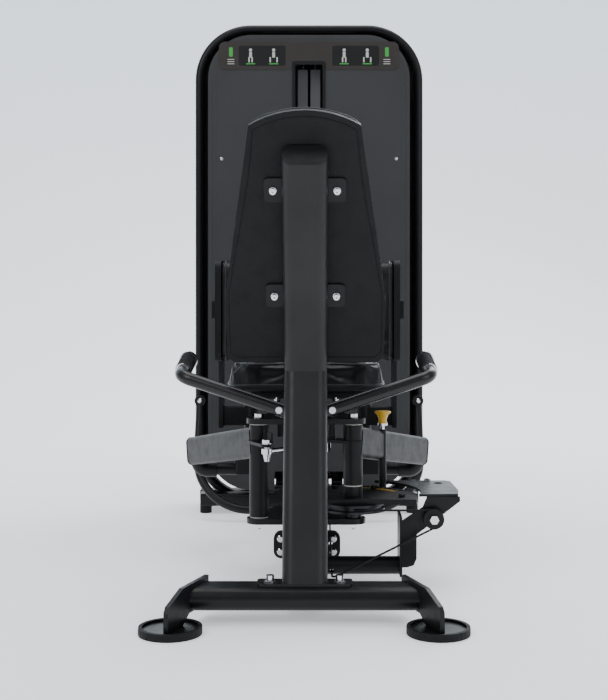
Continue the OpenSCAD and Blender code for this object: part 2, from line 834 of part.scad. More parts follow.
// Grooved drum that winds the cable, its lower boss, and the studs that fix the selector plate.
module cable_drum() {
  color("#4a4c4f") translate([pivot_x, pivot_y, 0]) {
    difference() {
      union() {
        translate([0, 0, low_top + gap]) cylinder(d = hub_d - 3, h = selector_z - low_top - gap);
        translate([0, 0, selector_z - drum_t]) cylinder(r = drum_r + 6, h = drum_t, $fn = 72);
      }
      translate([0, 0, 1]) cylinder(r = shaft_d / 2 + run_fit, h = 2 * collar_top);
      translate([0, 0, cable_z]) rotate_extrude($fn = 72) translate([drum_r + cable_d / 2 - gap, 0])
        square([2 * cable_d, cable_d + 4], center = true);
    }
  }
  color("#c9ccd0") translate([pivot_x, pivot_y, selector_z + selector_t]) for (a = stud_angles)
    rotate(a) translate([stud_r, 0, 0]) hex_bolt(m8, m8_head, selector_t);
}

module index_pin() {
  tip = selector_z + selector_t + 1;
  color("#c9ccd0") translate([pin_x, pin_y, tip]) {
    cylinder(d = index_d, h = knob_z - tip);
    translate([0, 0, knob_z - tip - 6]) cylinder(d = 25, h = 6);
  }
}

module pull_knob() {
  color("#d9a520") translate([pin_x, pin_y, knob_z]) {
    rotate_extrude() polygon([[0, 0], [12, 0], [12, 2], [10, 4], [11, 12], [14, 20], [20, 25], [21, 28], [19, 30], [0, 32]]);
  }
}

// ---------------------------------------------------------------- pad carriers

module carrier_right() {
  color("#2a2b2d") difference() {
    union() {
      translate([swivel_x, swivel_y, block_top + gap]) cylinder(d = 44, h = spindle_top + 6 - block_top - gap);
      translate([swivel_x, swivel_y - 20, box_z]) cube([bar_x - swivel_x, 40, box_h]);
      translate([bar_x, swivel_y - bar_w / 2, bar_bottom]) cube([bar_t, bar_w, knee_z + 120 - bar_bottom]);
    }
    translate([swivel_x, swivel_y, 0]) cylinder(r = spindle_d / 2 + run_fit, h = spindle_top + gap);
  }
}

module carrier_left() {
  mirror([1, 0, 0]) carrier_right();
}

module pad_shell_right() {
  color("#232527") difference() {
    union() {
      translate([bar_x, swivel_y, knee_z + knee_h / 2]) rotate([0, 90, 0]) linear_extrude(shell_side)
        round_rect(knee_h, knee_w, 24);
      translate([bar_x + shell_side, swivel_y, knee_z + 142]) rotate([0, 90, 0]) linear_extrude(boss_t)
        round_rect(boss_w, boss_w, blend);
    }
    translate([bar_x - 1, swivel_y - bar_w / 2, knee_z - 1]) cube([bar_t + 1, bar_w, 121]);
  }
}

module pad_shell_left() {
  mirror([1, 0, 0]) pad_shell_right();
}

module knee_cushion_right() {
  color("#3a3d41") translate([pad_inner, swivel_y, knee_z + knee_h / 2]) rotate([0, 90, 0])
    linear_extrude(knee_t - seat_gap) round_rect(knee_h, knee_w, 28);
}

module knee_cushion_left() {
  mirror([1, 0, 0]) knee_cushion_right();
}

// ---------------------------------------------------------------- cable drive

gusset_y = cable_y + 18;

// Side bracket: cross tube from the beam, end plate, rear gusset and fan plate over the redirect pulley.
module side_bracket() {
  color("#2c2d2f") difference() {
    union() {
      translate([0, side_tube_y, side_tube_z]) rotate([0, 90, 0]) cylinder(d = side_tube_d, h = side_x - 2);
      translate([side_x - 3, gusset_y, 38]) cube([plate_6, 90, 142]);
      translate([0, gusset_y + 8, 0]) rotate([90, 0, 0]) linear_extrude(8)
        polygon([[side_x - 3, 61], [side_x + 14, 61], [side_x + 30, 66], [side_x + 37, 82], [side_x + 37, 139],
                 [366, 218], [366, fan_z], [288, fan_z], [278, 204], [side_x - 3, 168]]);
      difference() {
        translate([0, 0, fan_z]) linear_extrude(plate_6)
          polygon([[270, gusset_y], [362, gusset_y + 6], [369, gusset_y + 60], [364, gusset_y + 195], [350, gusset_y + 208],
                   [170, gusset_y + 208]]);
        translate([pivot_x, pivot_y, fan_z - 1]) cylinder(r = selector_r + 5, h = 20, $fn = 96);
        translate([330, pivot_y + 112, fan_z - 1]) cylinder(d = 24, h = 20);
      }
    }
    translate([-1, side_tube_y, side_tube_z]) rotate([0, 90, 0]) cylinder(d = side_tube_d - 6, h = side_x - 2);
    translate([0, 0, stab_z]) rotate([-90, 0, 0]) translate([0, 0, -overall_l]) linear_extrude(2 * overall_l) oval(tube_l, tube_w);
    cable_port(side_tube_y - side_tube_d, side_tube_y + side_tube_d);
    translate([redirect_x, gusset_y - 1, redirect_z]) rotate([-90, 0, 0]) cylinder(d = m12, h = 10);
  }
}

module bracket_axles() {
  color("#c9ccd0") {
    translate([redirect_x, cable_y - 12, redirect_z]) rotate([-90, 0, 0]) cylinder(d = m12, h = gusset_y + 8 - cable_y + 12);
    translate([redirect_x, cable_y - 12, redirect_z]) rotate([90, 0, 0]) cylinder(d = m12_hex / cos(30), h = 7, $fn = 6);
    translate([cable_x - 18, tower_pulley_y, tower_pulley_z]) rotate([0, 90, 0]) cylinder(d = m12, h = 28);
    translate([-24, stack_y + top_r, top_pulley_z]) rotate([0, 90, 0]) cylinder(d = m12, h = 48);
    for (p = [[305, pivot_y + 135], [270, pivot_y + 115]]) translate([p[0], p[1], fan_z + plate_6]) hex_bolt(m8, m8_head, weld);
  }
}

// Grooved pulley about z, centred, with a bore for an m12 axle.
module pulley(r) {
  difference() {
    cylinder(r = r + 4, h = 16, center = true, $fn = 64);
    rotate_extrude($fn = 64) translate([r + cable_d / 2 - groove_gap, 0]) square([2 * cable_d, cable_d + 6], center = true);
    cylinder(r = m12 / 2 + run_fit, h = 20, center = true);
  }
}

module redirect_pulley() {
  color("#1f2022") translate([redirect_x, cable_y, redirect_z]) rotate([90, 0, 0]) pulley(redirect_r);
}

module tower_pulley() {
  color("#1f2022") translate([cable_x, tower_pulley_y, tower_pulley_z]) rotate([0, 90, 0]) pulley(tower_r);
}

module top_pulley() {
  color("#1f2022") translate([0, stack_y + top_r, top_pulley_z]) rotate([0, 90, 0]) pulley(top_r);
}

// Cable from the drum round the redirect pulley, down to the beam, along it and up behind the stack.
module drive_cable() {
  right = redirect_x + redirect_r;
  turn_z = redirect_z - redirect_r * tan((90 - run_fall) / 2);
  low = [cable_x, cable_y, cable_low];
  color("#111111")
    pipe([[pivot_x, cable_y, cable_z], [right, cable_y, cable_z], [right, cable_y, turn_z], low,
          [cable_x, tower_pulley_y + tower_r, tower_pulley_z - tower_r],
          [0, rise_y, top_pulley_z + top_r], [0, stack_y, top_pulley_z + top_r], [0, stack_y, top_pulley_z]],
         [0, redirect_r, redirect_r, beam_pulley_r, tower_r, top_r, top_r, 0]) circle(d = cable_d, $fn = 16);
}

// ---------------------------------------------------------------- weight tower

// Rounded rectangle outline in X and Z, centred on x, from z0 to z1.
module upright_outline(w, z0, z1, r) {
  translate([0, (z0 + z1) / 2]) round_rect(w, z1 - z0, r);
}

// Stands a flat drawing up: its x along X, its y along Z, its thickness along +Y from y.
module stand_up(y) {
  translate([0, y, 0]) rotate([90, 0, 0]) mirror([0, 0, 1]) children();
}

module tower_hoop() {
  x = (hoop_w - hoop_t) / 2;
  z0 = hoop_low + hoop_t / 2;
  z1 = overall_h - hoop_t / 2;
  r = hoop_r - hoop_t / 2;
  y = hoop_y + hoop_d / 2;
  color("#2b2c2e") pipe([[0, y, z0], [x, y, z0], [x, y, z1], [-x, y, z1], [-x, y, z0], [0, y, z0]],
                        [0, r, r, r, r, 0], [0, 1, 0]) rotate(90) oval_tube(hoop_d, hoop_t, tube_wall);
}

// Front loop that braces the hoop: two legs leaning out to a round floor bar.
module foot_loop() {
  x = hoop_w / 2 - 6 - loop_t / 2;
  top_y = hoop_y - loop_t / 2 - gap;
  rise = loop_top - loop_low;
  lean = top_y - hoop_y + loop_lean_y;
  leg = norm([rise, lean]);
  color("#2b2c2e") {
    translate([0, hoop_y - loop_lean_y, loop_low]) rotate([-atan2(lean, rise), 0, 0])
      pipe([[x, 0, leg], [x, 0, 0], [-x, 0, 0], [-x, 0, leg]], [0, loop_r, loop_r, 0], [0, 1, 0], 0)
        circle(d = loop_t);
    for (s = [-1, 1]) translate([s * x, top_y - loop_t / 2 - loop_boss, loop_top - 4]) rotate([-90, 0, 0])
      cylinder(d = loop_t + 9, h = loop_t + loop_boss);
  }
}

// Floor frame of the tower: cross rail under the hoop and a tray for the stack.
module tower_base() {
  color("#2b2c2e") {
    run([-hoop_w / 2 + 10, hoop_y + hoop_d + rail_d / 2, rail_z], [hoop_w / 2 - 10, hoop_y + hoop_d + rail_d / 2, rail_z])
      round_box(rail_d, 2 * (rail_z - 16), 8, tube_wall);
    run([-hoop_w / 2 + 22, rail_y + rail_d / 2, hoop_low + front_rail_h / 2],
        [hoop_w / 2 - 22, rail_y + rail_d / 2, hoop_low + front_rail_h / 2])
      rotate(90) round_box(front_rail_h, rail_d, 8, tube_wall);
    translate([hoop_r + 5 - hoop_w / 2, hoop_y, tray_z - tray_t + run_fit])
      cube([hoop_w - 2 * hoop_r - 10, far_y - hoop_y - 60, tray_t - 2 * run_fit]);
    translate([cable_x - 15, tower_pulley_y - 20, tray_z]) difference() {
      cube([plate_6, 40, tower_pulley_z - tray_z + 14]);
      translate([-1, 20, tower_pulley_z - tray_z]) rotate([0, 90, 0]) cylinder(d = m12, h = plate_6 + 2);
    }
  }
}

module tower_feet() {
  color("#1b1b1c") both_sides() {
    translate([hoop_w / 2 - 34, hoop_y + hoop_d + 30, 0]) cylinder(d = 44, h = 16);
    translate([hoop_w / 2 - 38, rail_y + rail_d / 2, 0]) cylinder(d = 38, h = hoop_low);
  }
}

// Moulded cover facing the seat, with the slot for the weight pin.
module near_shroud() {
  deep = 60;
  slot_z = (slot_top + slot_low) / 2;
  color("#505254") difference() {
    stand_up(shroud_y0) linear_extrude(deep) upright_outline(shroud_w, shroud_z0, shroud_z1, shroud_r);
    stand_up(shroud_y0 + shroud_wall) linear_extrude(deep)
      upright_outline(shroud_w - 2 * shroud_wall, shroud_z0 + shroud_wall, shroud_z1 - shroud_wall, shroud_r - shroud_wall);
    stand_up(shroud_y0 - 1) linear_extrude(2 * shroud_wall) upright_outline(slot_w, slot_low, slot_top, 6);
    stand_up(shroud_y0 - 1) linear_extrude(2 * shroud_wall) upright_outline(220, shroud_z0 - 1, shroud_z0 + 60, 6);
  }
}

module far_shroud() {
  deep = far_y - hoop_y - hoop_d - 2;
  wide = hoop_w - 10;
  top = overall_h - 5;
  color("#47494b") difference() {
    stand_up(far_y - deep) linear_extrude(deep) upright_outline(wide, shroud_z0, top, hoop_r - 5);
    stand_up(far_y - deep - shroud_wall) linear_extrude(deep)
      upright_outline(wide - 2 * shroud_wall, shroud_z0 + shroud_wall, top - shroud_wall, hoop_r - 5 - shroud_wall);
    stand_up(far_y - deep - 1) linear_extrude(deep - 40) upright_outline(300, shroud_z0 - 20, shroud_z0 + 20, 6);
  }
}

module placard() {
  color("#534f4d") stand_up(shroud_y0 - 1.5) linear_extrude(1.5 - 0.05) difference() {
    translate([0, placard_z + placard_h / 2]) round_rect(shroud_w - 70, placard_h, 20);
    upright_outline(slot_w + 22, slot_low, slot_top + 11, 8);
  }
}

module slot_trim() {
  color("#2a2b2c") stand_up(shroud_y0 - 3) linear_extrude(3) difference() {
    upright_outline(slot_w + 18, slot_low - 9, slot_top + 9, 8);
    upright_outline(slot_w, slot_low, slot_top, 6);
  }
}

module guide_rods() {
  top_z = crosshead_z;
  color("#b9bcc0") {
    for (s = [-1, 1]) translate([s * guide_x, stack_y, tray_z + run_fit]) cylinder(d = guide_d, h = top_z - tray_z);
  }
  color("#2b2c2e") difference() {
    union() {
      translate([-crosshead_w / 2, shroud_y0 + shroud_wall, top_z])
        cube([crosshead_w, stack_y + 80 - shroud_y0 - shroud_wall, 8]);
      for (s = [-1, 1]) translate([s * 20 - 3, stack_y + top_r - 20, top_pulley_z - 25])
        cube([6, 40, top_z - top_pulley_z + 26]);
    }
    translate([-30, stack_y + top_r, top_pulley_z]) rotate([0, 90, 0]) cylinder(d = m12, h = 60);
  }
}

// One weight plate with its two guide holes and the hole for the pin.
module weight_plate(z, h) {
  difference() {
    translate([0, stack_y, z]) linear_extrude(h) round_rect(plate_w, plate_d, 6);
    for (s = [-1, 1]) translate([s * guide_x, stack_y, z - 1]) cylinder(d = guide_d + 2, h = h + 2);
    translate([0, stack_y, z - 1]) cylinder(d = 24, h = h + 2);
    translate([0, stack_y - plate_d, z + h / 2]) rotate([-90, 0, 0]) cylinder(d = 10, h = plate_d);
  }
}

module resting_plates() {
  color("#3b3c3e") for (i = [0 : plate_n - 1])
    weight_plate(stack_z0 + i * plate_t, plate_t - 1);
}

module stack_bumpers() {
  color("#151515") for (s = [-1, 1]) translate([s * guide_x, stack_y, tray_z + gap]) difference() {
    cylinder(d = 38, h = stack_z0 - tray_z - 2 * gap);
    translate([0, 0, -1]) cylinder(d = guide_d + 2 * run_fit, h = stack_z0);
  }
}

// Top plate of the stack with its stem, which the cable lifts.
module lifted_plate() {
  z = rest_top + gap;
  color("#3b3c3e") {
    difference() {
      union() {
        translate([0, stack_y, z]) linear_extrude(lifted_h) round_rect(plate_w, plate_d, 6);
        translate([0, stack_y, z + lifted_h]) cylinder(d = 30, h = 30);
      }
      for (s = [-1, 1]) translate([s * guide_x, stack_y, z - 1]) cylinder(r = guide_d / 2 + run_fit, h = lifted_h + 2);
      translate([0, stack_y - plate_d, z + 15]) rotate([-90, 0, 0]) cylinder(r = 5 + run_fit, h = plate_d);
    }
    difference() {
      translate([0, stack_y, stack_z0 + 20]) cylinder(d = 20, h = z - stack_z0 - 20);
      for (i = [0 : plate_n - 1]) translate([0, stack_y - plate_d, stack_z0 + i * plate_t + (plate_t - 1) / 2])
        rotate([-90, 0, 0]) cylinder(d = 11, h = 2 * plate_d);
    }
  }
}

module stack_cable() {
  z = rest_top + gap + lifted_h + 30;
  color("#111111") translate([0, stack_y, z]) cylinder(d = cable_d, h = top_pulley_z - z, $fn = 16);
}

module weight_pin() {
  z = rest_top + gap + 15;
  color("#d9a520") {
    translate([0, stack_y - plate_d / 2 - 22, z]) rotate([-90, 0, 0]) cylinder(r = 5, h = plate_d / 2 + 21);
    translate([0, stack_y - plate_d / 2 - 22, z]) rotate([90, 0, 0]) cylinder(d = 22, h = 18);
  }
}

// ---------------------------------------------------------------- screws of the frame

module frame_bolts() {
  color("#c9ccd0") {
    at_stand_bolts() cap_screw(m12, m12_head, tube_w / 2);
    on_back() for (v = bracket_up, s = [-1, 1]) translate([s * back_bolt_x, v, tube_w / 2]) mirror([0, 0, 1])
      cap_screw(m8, m8_head, plate_6 + 8);
    for (b = joint_bolts) translate([b[0], joint_y - joint_t, stab_z + b[1]]) rotate([90, 0, 0])
      button_bolt(10, 2 * joint_t);
    for (p = seat_bolts) translate([p[0], p[1], carrier_z - seat_plate_t]) mirror([0, 0, 1])
      cap_screw(m8, m8_head, seat_plate_t + board_t - 3);
    both_sides() translate(handle_bolt - [0, handle_d / 2 + 3, 0]) rotate([90, 0, 0]) hex_bolt(m8, m8_head, 2);
    both_sides() translate([hoop_w / 2 - 6 - loop_t / 2, hoop_y - loop_t - loop_boss - gap - weld, loop_top - 4])
      rotate([90, 0, 0]) button_bolt(8, weld);
  }
}

rear_stabiliser();
foot_brackets();
rear_feet();
base_plate();
seat_post();
post_cap();
back_brackets();
back_shell();
back_cushion();
seat_carrier();
seat_board();
seat_cushion();
handle_left();
handle_right();
hand_grips();
grip_rings();
main_beam();
front_column();
hub_plate_upper();
hub_plate_lower();
pivot_shafts();
pivot_bolts();
stop_bumpers();
side_bracket();
bracket_axles();
tower_base();
tower_hoop();
foot_loop();
tower_feet();
near_shroud();
far_shroud();
placard();
slot_trim();
guide_rods();
resting_plates();
stack_bumpers();
drive_cable();
frame_bolts();
arm_left();
arm_right();
bushes_left();
bushes_right();
tie_bolt_left();
tie_rod();
selector_plate();
cable_drum();
index_pin();
pull_knob();
lifted_plate();
stack_cable();
weight_pin();
carrier_left();
carrier_right();
pad_shell_left();
pad_shell_right();
knee_cushion_left();
knee_cushion_right();
redirect_pulley();
tower_pulley();
top_pulley();
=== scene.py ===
"""Looks of the seated leg machine: upholstery, finishes, small fittings, studio and camera."""

import json
import logging
import math
from dataclasses import dataclass, field
from enum import Enum

import bmesh
import bpy
import numpy as np
from mathutils import Matrix, Vector
from mathutils.bvhtree import BVHTree


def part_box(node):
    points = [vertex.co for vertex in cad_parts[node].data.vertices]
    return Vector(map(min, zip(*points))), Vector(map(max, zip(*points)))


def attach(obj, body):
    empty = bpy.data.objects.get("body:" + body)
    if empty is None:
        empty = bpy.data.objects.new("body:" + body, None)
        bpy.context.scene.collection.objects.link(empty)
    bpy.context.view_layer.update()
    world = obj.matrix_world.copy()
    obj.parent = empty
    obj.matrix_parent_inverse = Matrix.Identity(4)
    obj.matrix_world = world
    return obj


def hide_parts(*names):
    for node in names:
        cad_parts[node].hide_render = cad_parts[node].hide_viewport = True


logging.basicConfig(level=logging.INFO, format="%(message)s")
LOG = logging.getLogger("scene")

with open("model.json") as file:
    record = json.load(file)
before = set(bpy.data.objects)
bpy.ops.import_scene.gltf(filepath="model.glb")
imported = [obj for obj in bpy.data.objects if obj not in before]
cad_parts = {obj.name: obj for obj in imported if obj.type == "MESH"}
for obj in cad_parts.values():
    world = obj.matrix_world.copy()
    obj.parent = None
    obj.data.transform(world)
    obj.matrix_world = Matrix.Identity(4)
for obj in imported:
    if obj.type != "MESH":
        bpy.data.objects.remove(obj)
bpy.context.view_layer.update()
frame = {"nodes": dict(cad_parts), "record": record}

SINK = 0.0002  # metres that a thin raised shape reaches into its face


# ---------------------------------------------------------------- shader groups


class Grain(Enum):
    """Surface patterns, each a shader node group that gives a height, a tint and a wear mask."""

    POWDER = "powder"
    MOULDED = "moulded"
    LEATHER = "leather"
    RUBBER = "rubber"
    PLATED = "plated"
    BRUSHED = "brushed"
    CAST = "cast"


@dataclass(frozen=True)
class Pattern:
    """Numbers behind one grain group.

    Args:
        fine: scale of the fine pattern, in cells per metre.
        broad: scale of the slow variation, in cells per metre.
        cells: True for a cellular fine pattern, False for a noise.
        stretch: scale of the fine pattern along each axis.
    """

    fine: float
    broad: float
    cells: bool = False
    stretch: tuple = (1.0, 1.0, 1.0)


PATTERNS = {
    Grain.POWDER: Pattern(900.0, 7.0),
    Grain.MOULDED: Pattern(520.0, 5.0, cells=True),
    Grain.LEATHER: Pattern(430.0, 9.0, cells=True),
    Grain.RUBBER: Pattern(700.0, 12.0),
    Grain.PLATED: Pattern(60.0, 15.0),
    Grain.BRUSHED: Pattern(900.0, 12.0, stretch=(1.0, 1.0, 0.03)),
    Grain.CAST: Pattern(350.0, 11.0),
}


class GrainLibrary:
    """Builds each grain's node group once and hands it out."""

    def __init__(self):
        self._groups = {}

    def get(self, grain):
        """Finds or builds a group.

        Args:
            grain: the Grain wanted.

        Returns:
            The node group, with outputs Height, Tint and Wear.
        """
        if grain not in self._groups:
            self._groups[grain] = self._build(grain, PATTERNS[grain])
        return self._groups[grain]

    def _build(self, grain, pattern):
        tree = bpy.data.node_groups.new("grain_" + grain.value, "ShaderNodeTree")
        face = tree.interface
        face.new_socket(name="Scale", in_out="INPUT", socket_type="NodeSocketFloat").default_value = 1.0
        for name in ("Height", "Tint", "Wear"):
            face.new_socket(name=name, in_out="OUTPUT", socket_type="NodeSocketFloat")
        new, link = tree.nodes.new, tree.links.new
        into, out = new("NodeGroupInput"), new("NodeGroupOutput")
        place = new("ShaderNodeTexCoord")
        mapping = new("ShaderNodeMapping")
        mapping.inputs["Scale"].default_value = pattern.stretch
        link(place.outputs["Object"], mapping.inputs["Vector"])
        size = new("ShaderNodeMath")
        size.operation = "MULTIPLY"
        size.inputs[1].default_value = pattern.fine
        link(into.outputs["Scale"], size.inputs[0])
        if pattern.cells:
            fine = new("ShaderNodeTexVoronoi")
            fine.feature = "SMOOTH_F1"
            fine.inputs["Smoothness"].default_value = 0.35
            height = fine.outputs["Distance"]
        else:
            fine = new("ShaderNodeTexNoise")
            fine.inputs["Detail"].default_value = 3.0
            height = fine.outputs["Fac"]
        link(size.outputs[0], fine.inputs["Scale"])
        link(mapping.outputs[0], fine.inputs["Vector"])
        broad = new("ShaderNodeTexNoise")
        broad.inputs["Scale"].default_value = pattern.broad
        broad.inputs["Detail"].default_value = 4.0
        link(place.outputs["Object"], broad.inputs["Vector"])
        smudge = new("ShaderNodeTexNoise")
        smudge.inputs["Scale"].default_value = pattern.broad * 5.0
        smudge.inputs["Detail"].default_value = 6.0
        smudge.inputs["Roughness"].default_value = 0.65
        link(place.outputs["Object"], smudge.inputs["Vector"])
        spread = new("ShaderNodeMapRange")
        spread.inputs["From Min"].default_value = 0.45
        spread.inputs["From Max"].default_value = 0.72
        link(smudge.outputs["Fac"], spread.inputs["Value"])
        mix = new("ShaderNodeMath")
        mix.operation = "MULTIPLY_ADD"
        mix.inputs[1].default_value = 0.35
        link(height, mix.inputs[0])
        link(broad.outputs["Fac"], mix.inputs[2])
        link(height, out.inputs["Height"])
        link(mix.outputs[0], out.inputs["Tint"])
        link(spread.outputs["Result"], out.inputs["Wear"])
        return tree


GRAINS = GrainLibrary()


@dataclass(frozen=True)
class Finish:
    """One procedural material.

    Args:
        name: material name, the record's slot where there is one.
        colour: linear base colour.
        rough: roughness at rest.
        grain: surface pattern.
        metallic: 0 or 1.
        coat: weight of the clear coat.
        bump: bump strength.
        depth: bump height in metres.
        shade: how far the tint moves the colour, as a share.
        wear: how far the wear mask moves the roughness.
        scale: scale of the fine pattern.
        shine: specular level.
    """

    name: str
    colour: tuple
    rough: float
    grain: Grain
    metallic: float = 0.0
    coat: float = 0.0
    bump: float = 0.25
    depth: float = 0.0004
    shade: float = 0.25
    wear: float = 0.08
    scale: float = 1.0
    shine: float = 0.22

    def build(self):
        """Makes the material.

        Returns:
            The Blender material.
        """
        mat = bpy.data.materials.new(self.name)
        mat.use_nodes = True
        tree = mat.node_tree
        new, link = tree.nodes.new, tree.links.new
        shader = tree.nodes["Principled BSDF"]
        grain = new("ShaderNodeGroup")
        grain.node_tree = GRAINS.get(self.grain)
        grain.inputs["Scale"].default_value = self.scale
        ramp = new("ShaderNodeMapRange")
        ramp.inputs["From Min"].default_value = 0.3
        ramp.inputs["From Max"].default_value = 0.9
        ramp.inputs["To Min"].default_value = 1.0 - self.shade
        ramp.inputs["To Max"].default_value = 1.0 + self.shade
        link(grain.outputs["Tint"], ramp.inputs["Value"])
        tint = new("ShaderNodeVectorMath")
        tint.operation = "SCALE"
        tint.inputs[0].default_value = self.colour
        link(ramp.outputs["Result"], tint.inputs["Scale"])
        link(tint.outputs["Vector"], shader.inputs["Base Color"])
        rough = new("ShaderNodeMapRange")
        rough.inputs["To Min"].default_value = max(0.02, self.rough - self.wear / 2)
        rough.inputs["To Max"].default_value = min(1.0, self.rough + self.wear)
        link(grain.outputs["Wear"], rough.inputs["Value"])
        link(rough.outputs["Result"], shader.inputs["Roughness"])
        bump = new("ShaderNodeBump")
        bump.inputs["Strength"].default_value = self.bump
        bump.inputs["Distance"].default_value = self.depth
        link(grain.outputs["Height"], bump.inputs["Height"])
        link(bump.outputs["Normal"], shader.inputs["Normal"])
        shader.inputs["Metallic"].default_value = self.metallic
        shader.inputs["Coat Weight"].default_value = self.coat
        shader.inputs["Coat Roughness"].default_value = 0.25
        shader.inputs["Specular IOR Level"].default_value = self.shine
        return mat


FINISHES = (
    Finish("frame_paint", (0.0052, 0.0054, 0.006), 0.36, Grain.POWDER, coat=0.04, bump=0.12),
    Finish("column_paint", (0.016, 0.0162, 0.0168), 0.42, Grain.POWDER, coat=0.04, bump=0.12),
    Finish("arm_paint", (0.0042, 0.0043, 0.0047), 0.45, Grain.POWDER, coat=0.04, bump=0.12),
    Finish("handle_paint", (0.005, 0.005, 0.0055), 0.26, Grain.POWDER, coat=0.3, bump=0.08),
    Finish("hoop_paint", (0.006, 0.0062, 0.0068), 0.36, Grain.POWDER, coat=0.04, bump=0.12),
    Finish("foot_rubber", (0.006, 0.006, 0.0065), 0.62, Grain.RUBBER),
    Finish("black_rubber", (0.006, 0.006, 0.0065), 0.55, Grain.RUBBER),
    Finish("grip_rubber", (0.006, 0.006, 0.0065), 0.6, Grain.RUBBER, bump=0.35),
    Finish("black_plastic", (0.006, 0.006, 0.007), 0.5, Grain.MOULDED, bump=0.15),
    Finish("shell_plastic", (0.0032, 0.0036, 0.0042), 0.52, Grain.MOULDED, bump=0.5, depth=0.0006),
    Finish(
        "shroud_plastic", (0.034, 0.0355, 0.037), 0.55, Grain.MOULDED,
        bump=0.4, depth=0.0005, shade=0.12,
    ),
    Finish("placard_plastic", (0.034, 0.03, 0.028), 0.38, Grain.MOULDED, bump=0.05, shade=0.08),
    Finish(
        "cushion_vinyl", (0.0065, 0.0072, 0.0085), 0.45, Grain.LEATHER,
        coat=0.08, bump=0.35, depth=0.0005,
    ),
    Finish("bright_chrome", (0.66, 0.67, 0.69), 0.12, Grain.PLATED, metallic=1.0, bump=0.02, shade=0.05),
    Finish("shaft_steel", (0.46, 0.47, 0.49), 0.26, Grain.BRUSHED, metallic=1.0, bump=0.08, shade=0.1),
    Finish("bush_nylon", (0.55, 0.55, 0.52), 0.50, Grain.MOULDED, bump=0.1, shade=0.06),
    Finish("drum_alloy", (0.03, 0.031, 0.033), 0.35, Grain.BRUSHED, metallic=1.0, bump=0.1),
    Finish("plate_iron", (0.02, 0.0205, 0.022), 0.55, Grain.CAST, bump=0.5, depth=0.0008),
    Finish("cable_jacket", (0.006, 0.006, 0.0065), 0.45, Grain.RUBBER, bump=0.2),
    Finish("yellow_plastic", (0.62, 0.36, 0.020), 0.34, Grain.MOULDED, coat=0.3, bump=0.04, shade=0.06),
    Finish("pulley_nylon", (0.008, 0.0085, 0.009), 0.45, Grain.MOULDED, bump=0.12),
    Finish("print_green", (0.050, 0.30, 0.060), 0.40, Grain.MOULDED, bump=0.03, shade=0.05),
    Finish("print_pale", (0.42, 0.42, 0.40), 0.42, Grain.MOULDED, bump=0.03, shade=0.05),
    Finish("print_dark", (0.01, 0.01, 0.0105), 0.45, Grain.MOULDED, bump=0.03, shade=0.05),
    Finish("liner_grey", (0.17, 0.175, 0.18), 0.6, Grain.MOULDED, bump=0.1, shade=0.06),
    Finish("seam_thread", (0.01, 0.011, 0.013), 0.7, Grain.RUBBER, bump=0.3),
    Finish("piping_vinyl", (0.018, 0.02, 0.023), 0.4, Grain.LEATHER, coat=0.15, bump=0.2),
)
MATERIALS = {f.name: f.build() for f in FINISHES}


def paint_cad():
    """Gives every CAD node the finish of its material slot."""
    slots = {s["node"]: s["material_slot"] for s in frame["record"]["subparts"]}
    for name, node in frame["nodes"].items():
        node.data.materials.clear()
        node.data.materials.append(MATERIALS[slots[name]])
    LOG.info("painted %d CAD nodes", len(frame["nodes"]))


# ---------------------------------------------------------------- mesh helpers


def new_object(name, verts, faces, finish, smooth=True):
    """Makes a mesh object at the origin.

    Args:
        name: object name.
        verts: list of points in metres, in the row frame.
        faces: list of index tuples, wound outwards.
        finish: name of its material.
        smooth: whether faces are shaded smooth.

    Returns:
        The object.
    """
    mesh = bpy.data.meshes.new(name)
    mesh.from_pydata([tuple(v) for v in verts], [], faces)
    mesh.update()
    mesh.materials.append(MATERIALS[finish])
    for p in mesh.polygons:
        p.use_smooth = smooth
    obj = bpy.data.objects.new(name, mesh)
    bpy.context.scene.collection.objects.link(obj)
    return obj


def tidy_normals(obj):
    """Turns every face of a closed mesh outwards.

    Args:
        obj: the mesh object.
    """
    bm = bmesh.new()
    bm.from_mesh(obj.data)
    bmesh.ops.recalc_face_normals(bm, faces=bm.faces)
    bm.to_mesh(obj.data)
    bm.free()


def finish_piece(obj, body, crease=None):
    """Shades and attaches a piece, and logs it.

    Args:
        obj: the object, already in place.
        body: CAD body that it rides on.
        crease: angle in degrees above which edges stay sharp, or None to leave the shading as it is.

    Returns:
        The object.
    """
    if crease is not None:
        for p in obj.data.polygons:
            p.use_smooth = True
        obj.data.set_sharp_from_angle(angle=math.radians(crease))
    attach(obj, body)
    LOG.info("%s: %d faces on %s", obj.name, len(obj.data.polygons), body)
    return obj


def sweep(points, radius, closed, sides=8):
    """Draws a round cord along points.

    Args:
        points: list of Vectors.
        radius: cord radius in metres.
        closed: whether the last point joins the first.
        sides: number of sides.

    Returns:
        (verts, faces).
    """
    n = len(points)
    verts, faces = [], []
    side = None
    for i, p in enumerate(points):
        ahead = points[(i + 1) % n] if closed or i < n - 1 else p
        behind = points[i - 1] if closed or i > 0 else p
        along = (ahead - behind).normalized()
        if side is None:
            side = along.orthogonal().normalized()
        side = (side - along * side.dot(along)).normalized()
        other = along.cross(side)
        for k in range(sides):
            a = 2 * math.pi * k / sides
            verts.append(p + side * (radius * math.cos(a)) + other * (radius * math.sin(a)))
    for i in range(n if closed else n - 1):
        j = (i + 1) % n
        for k in range(sides):
            m = (k + 1) % sides
            faces.append((i * sides + k, i * sides + m, j * sides + m, j * sides + k))
    if not closed:
        faces.append(tuple(range(sides - 1, -1, -1)))
        faces.append(tuple((n - 1) * sides + k for k in range(sides)))
    return verts, faces


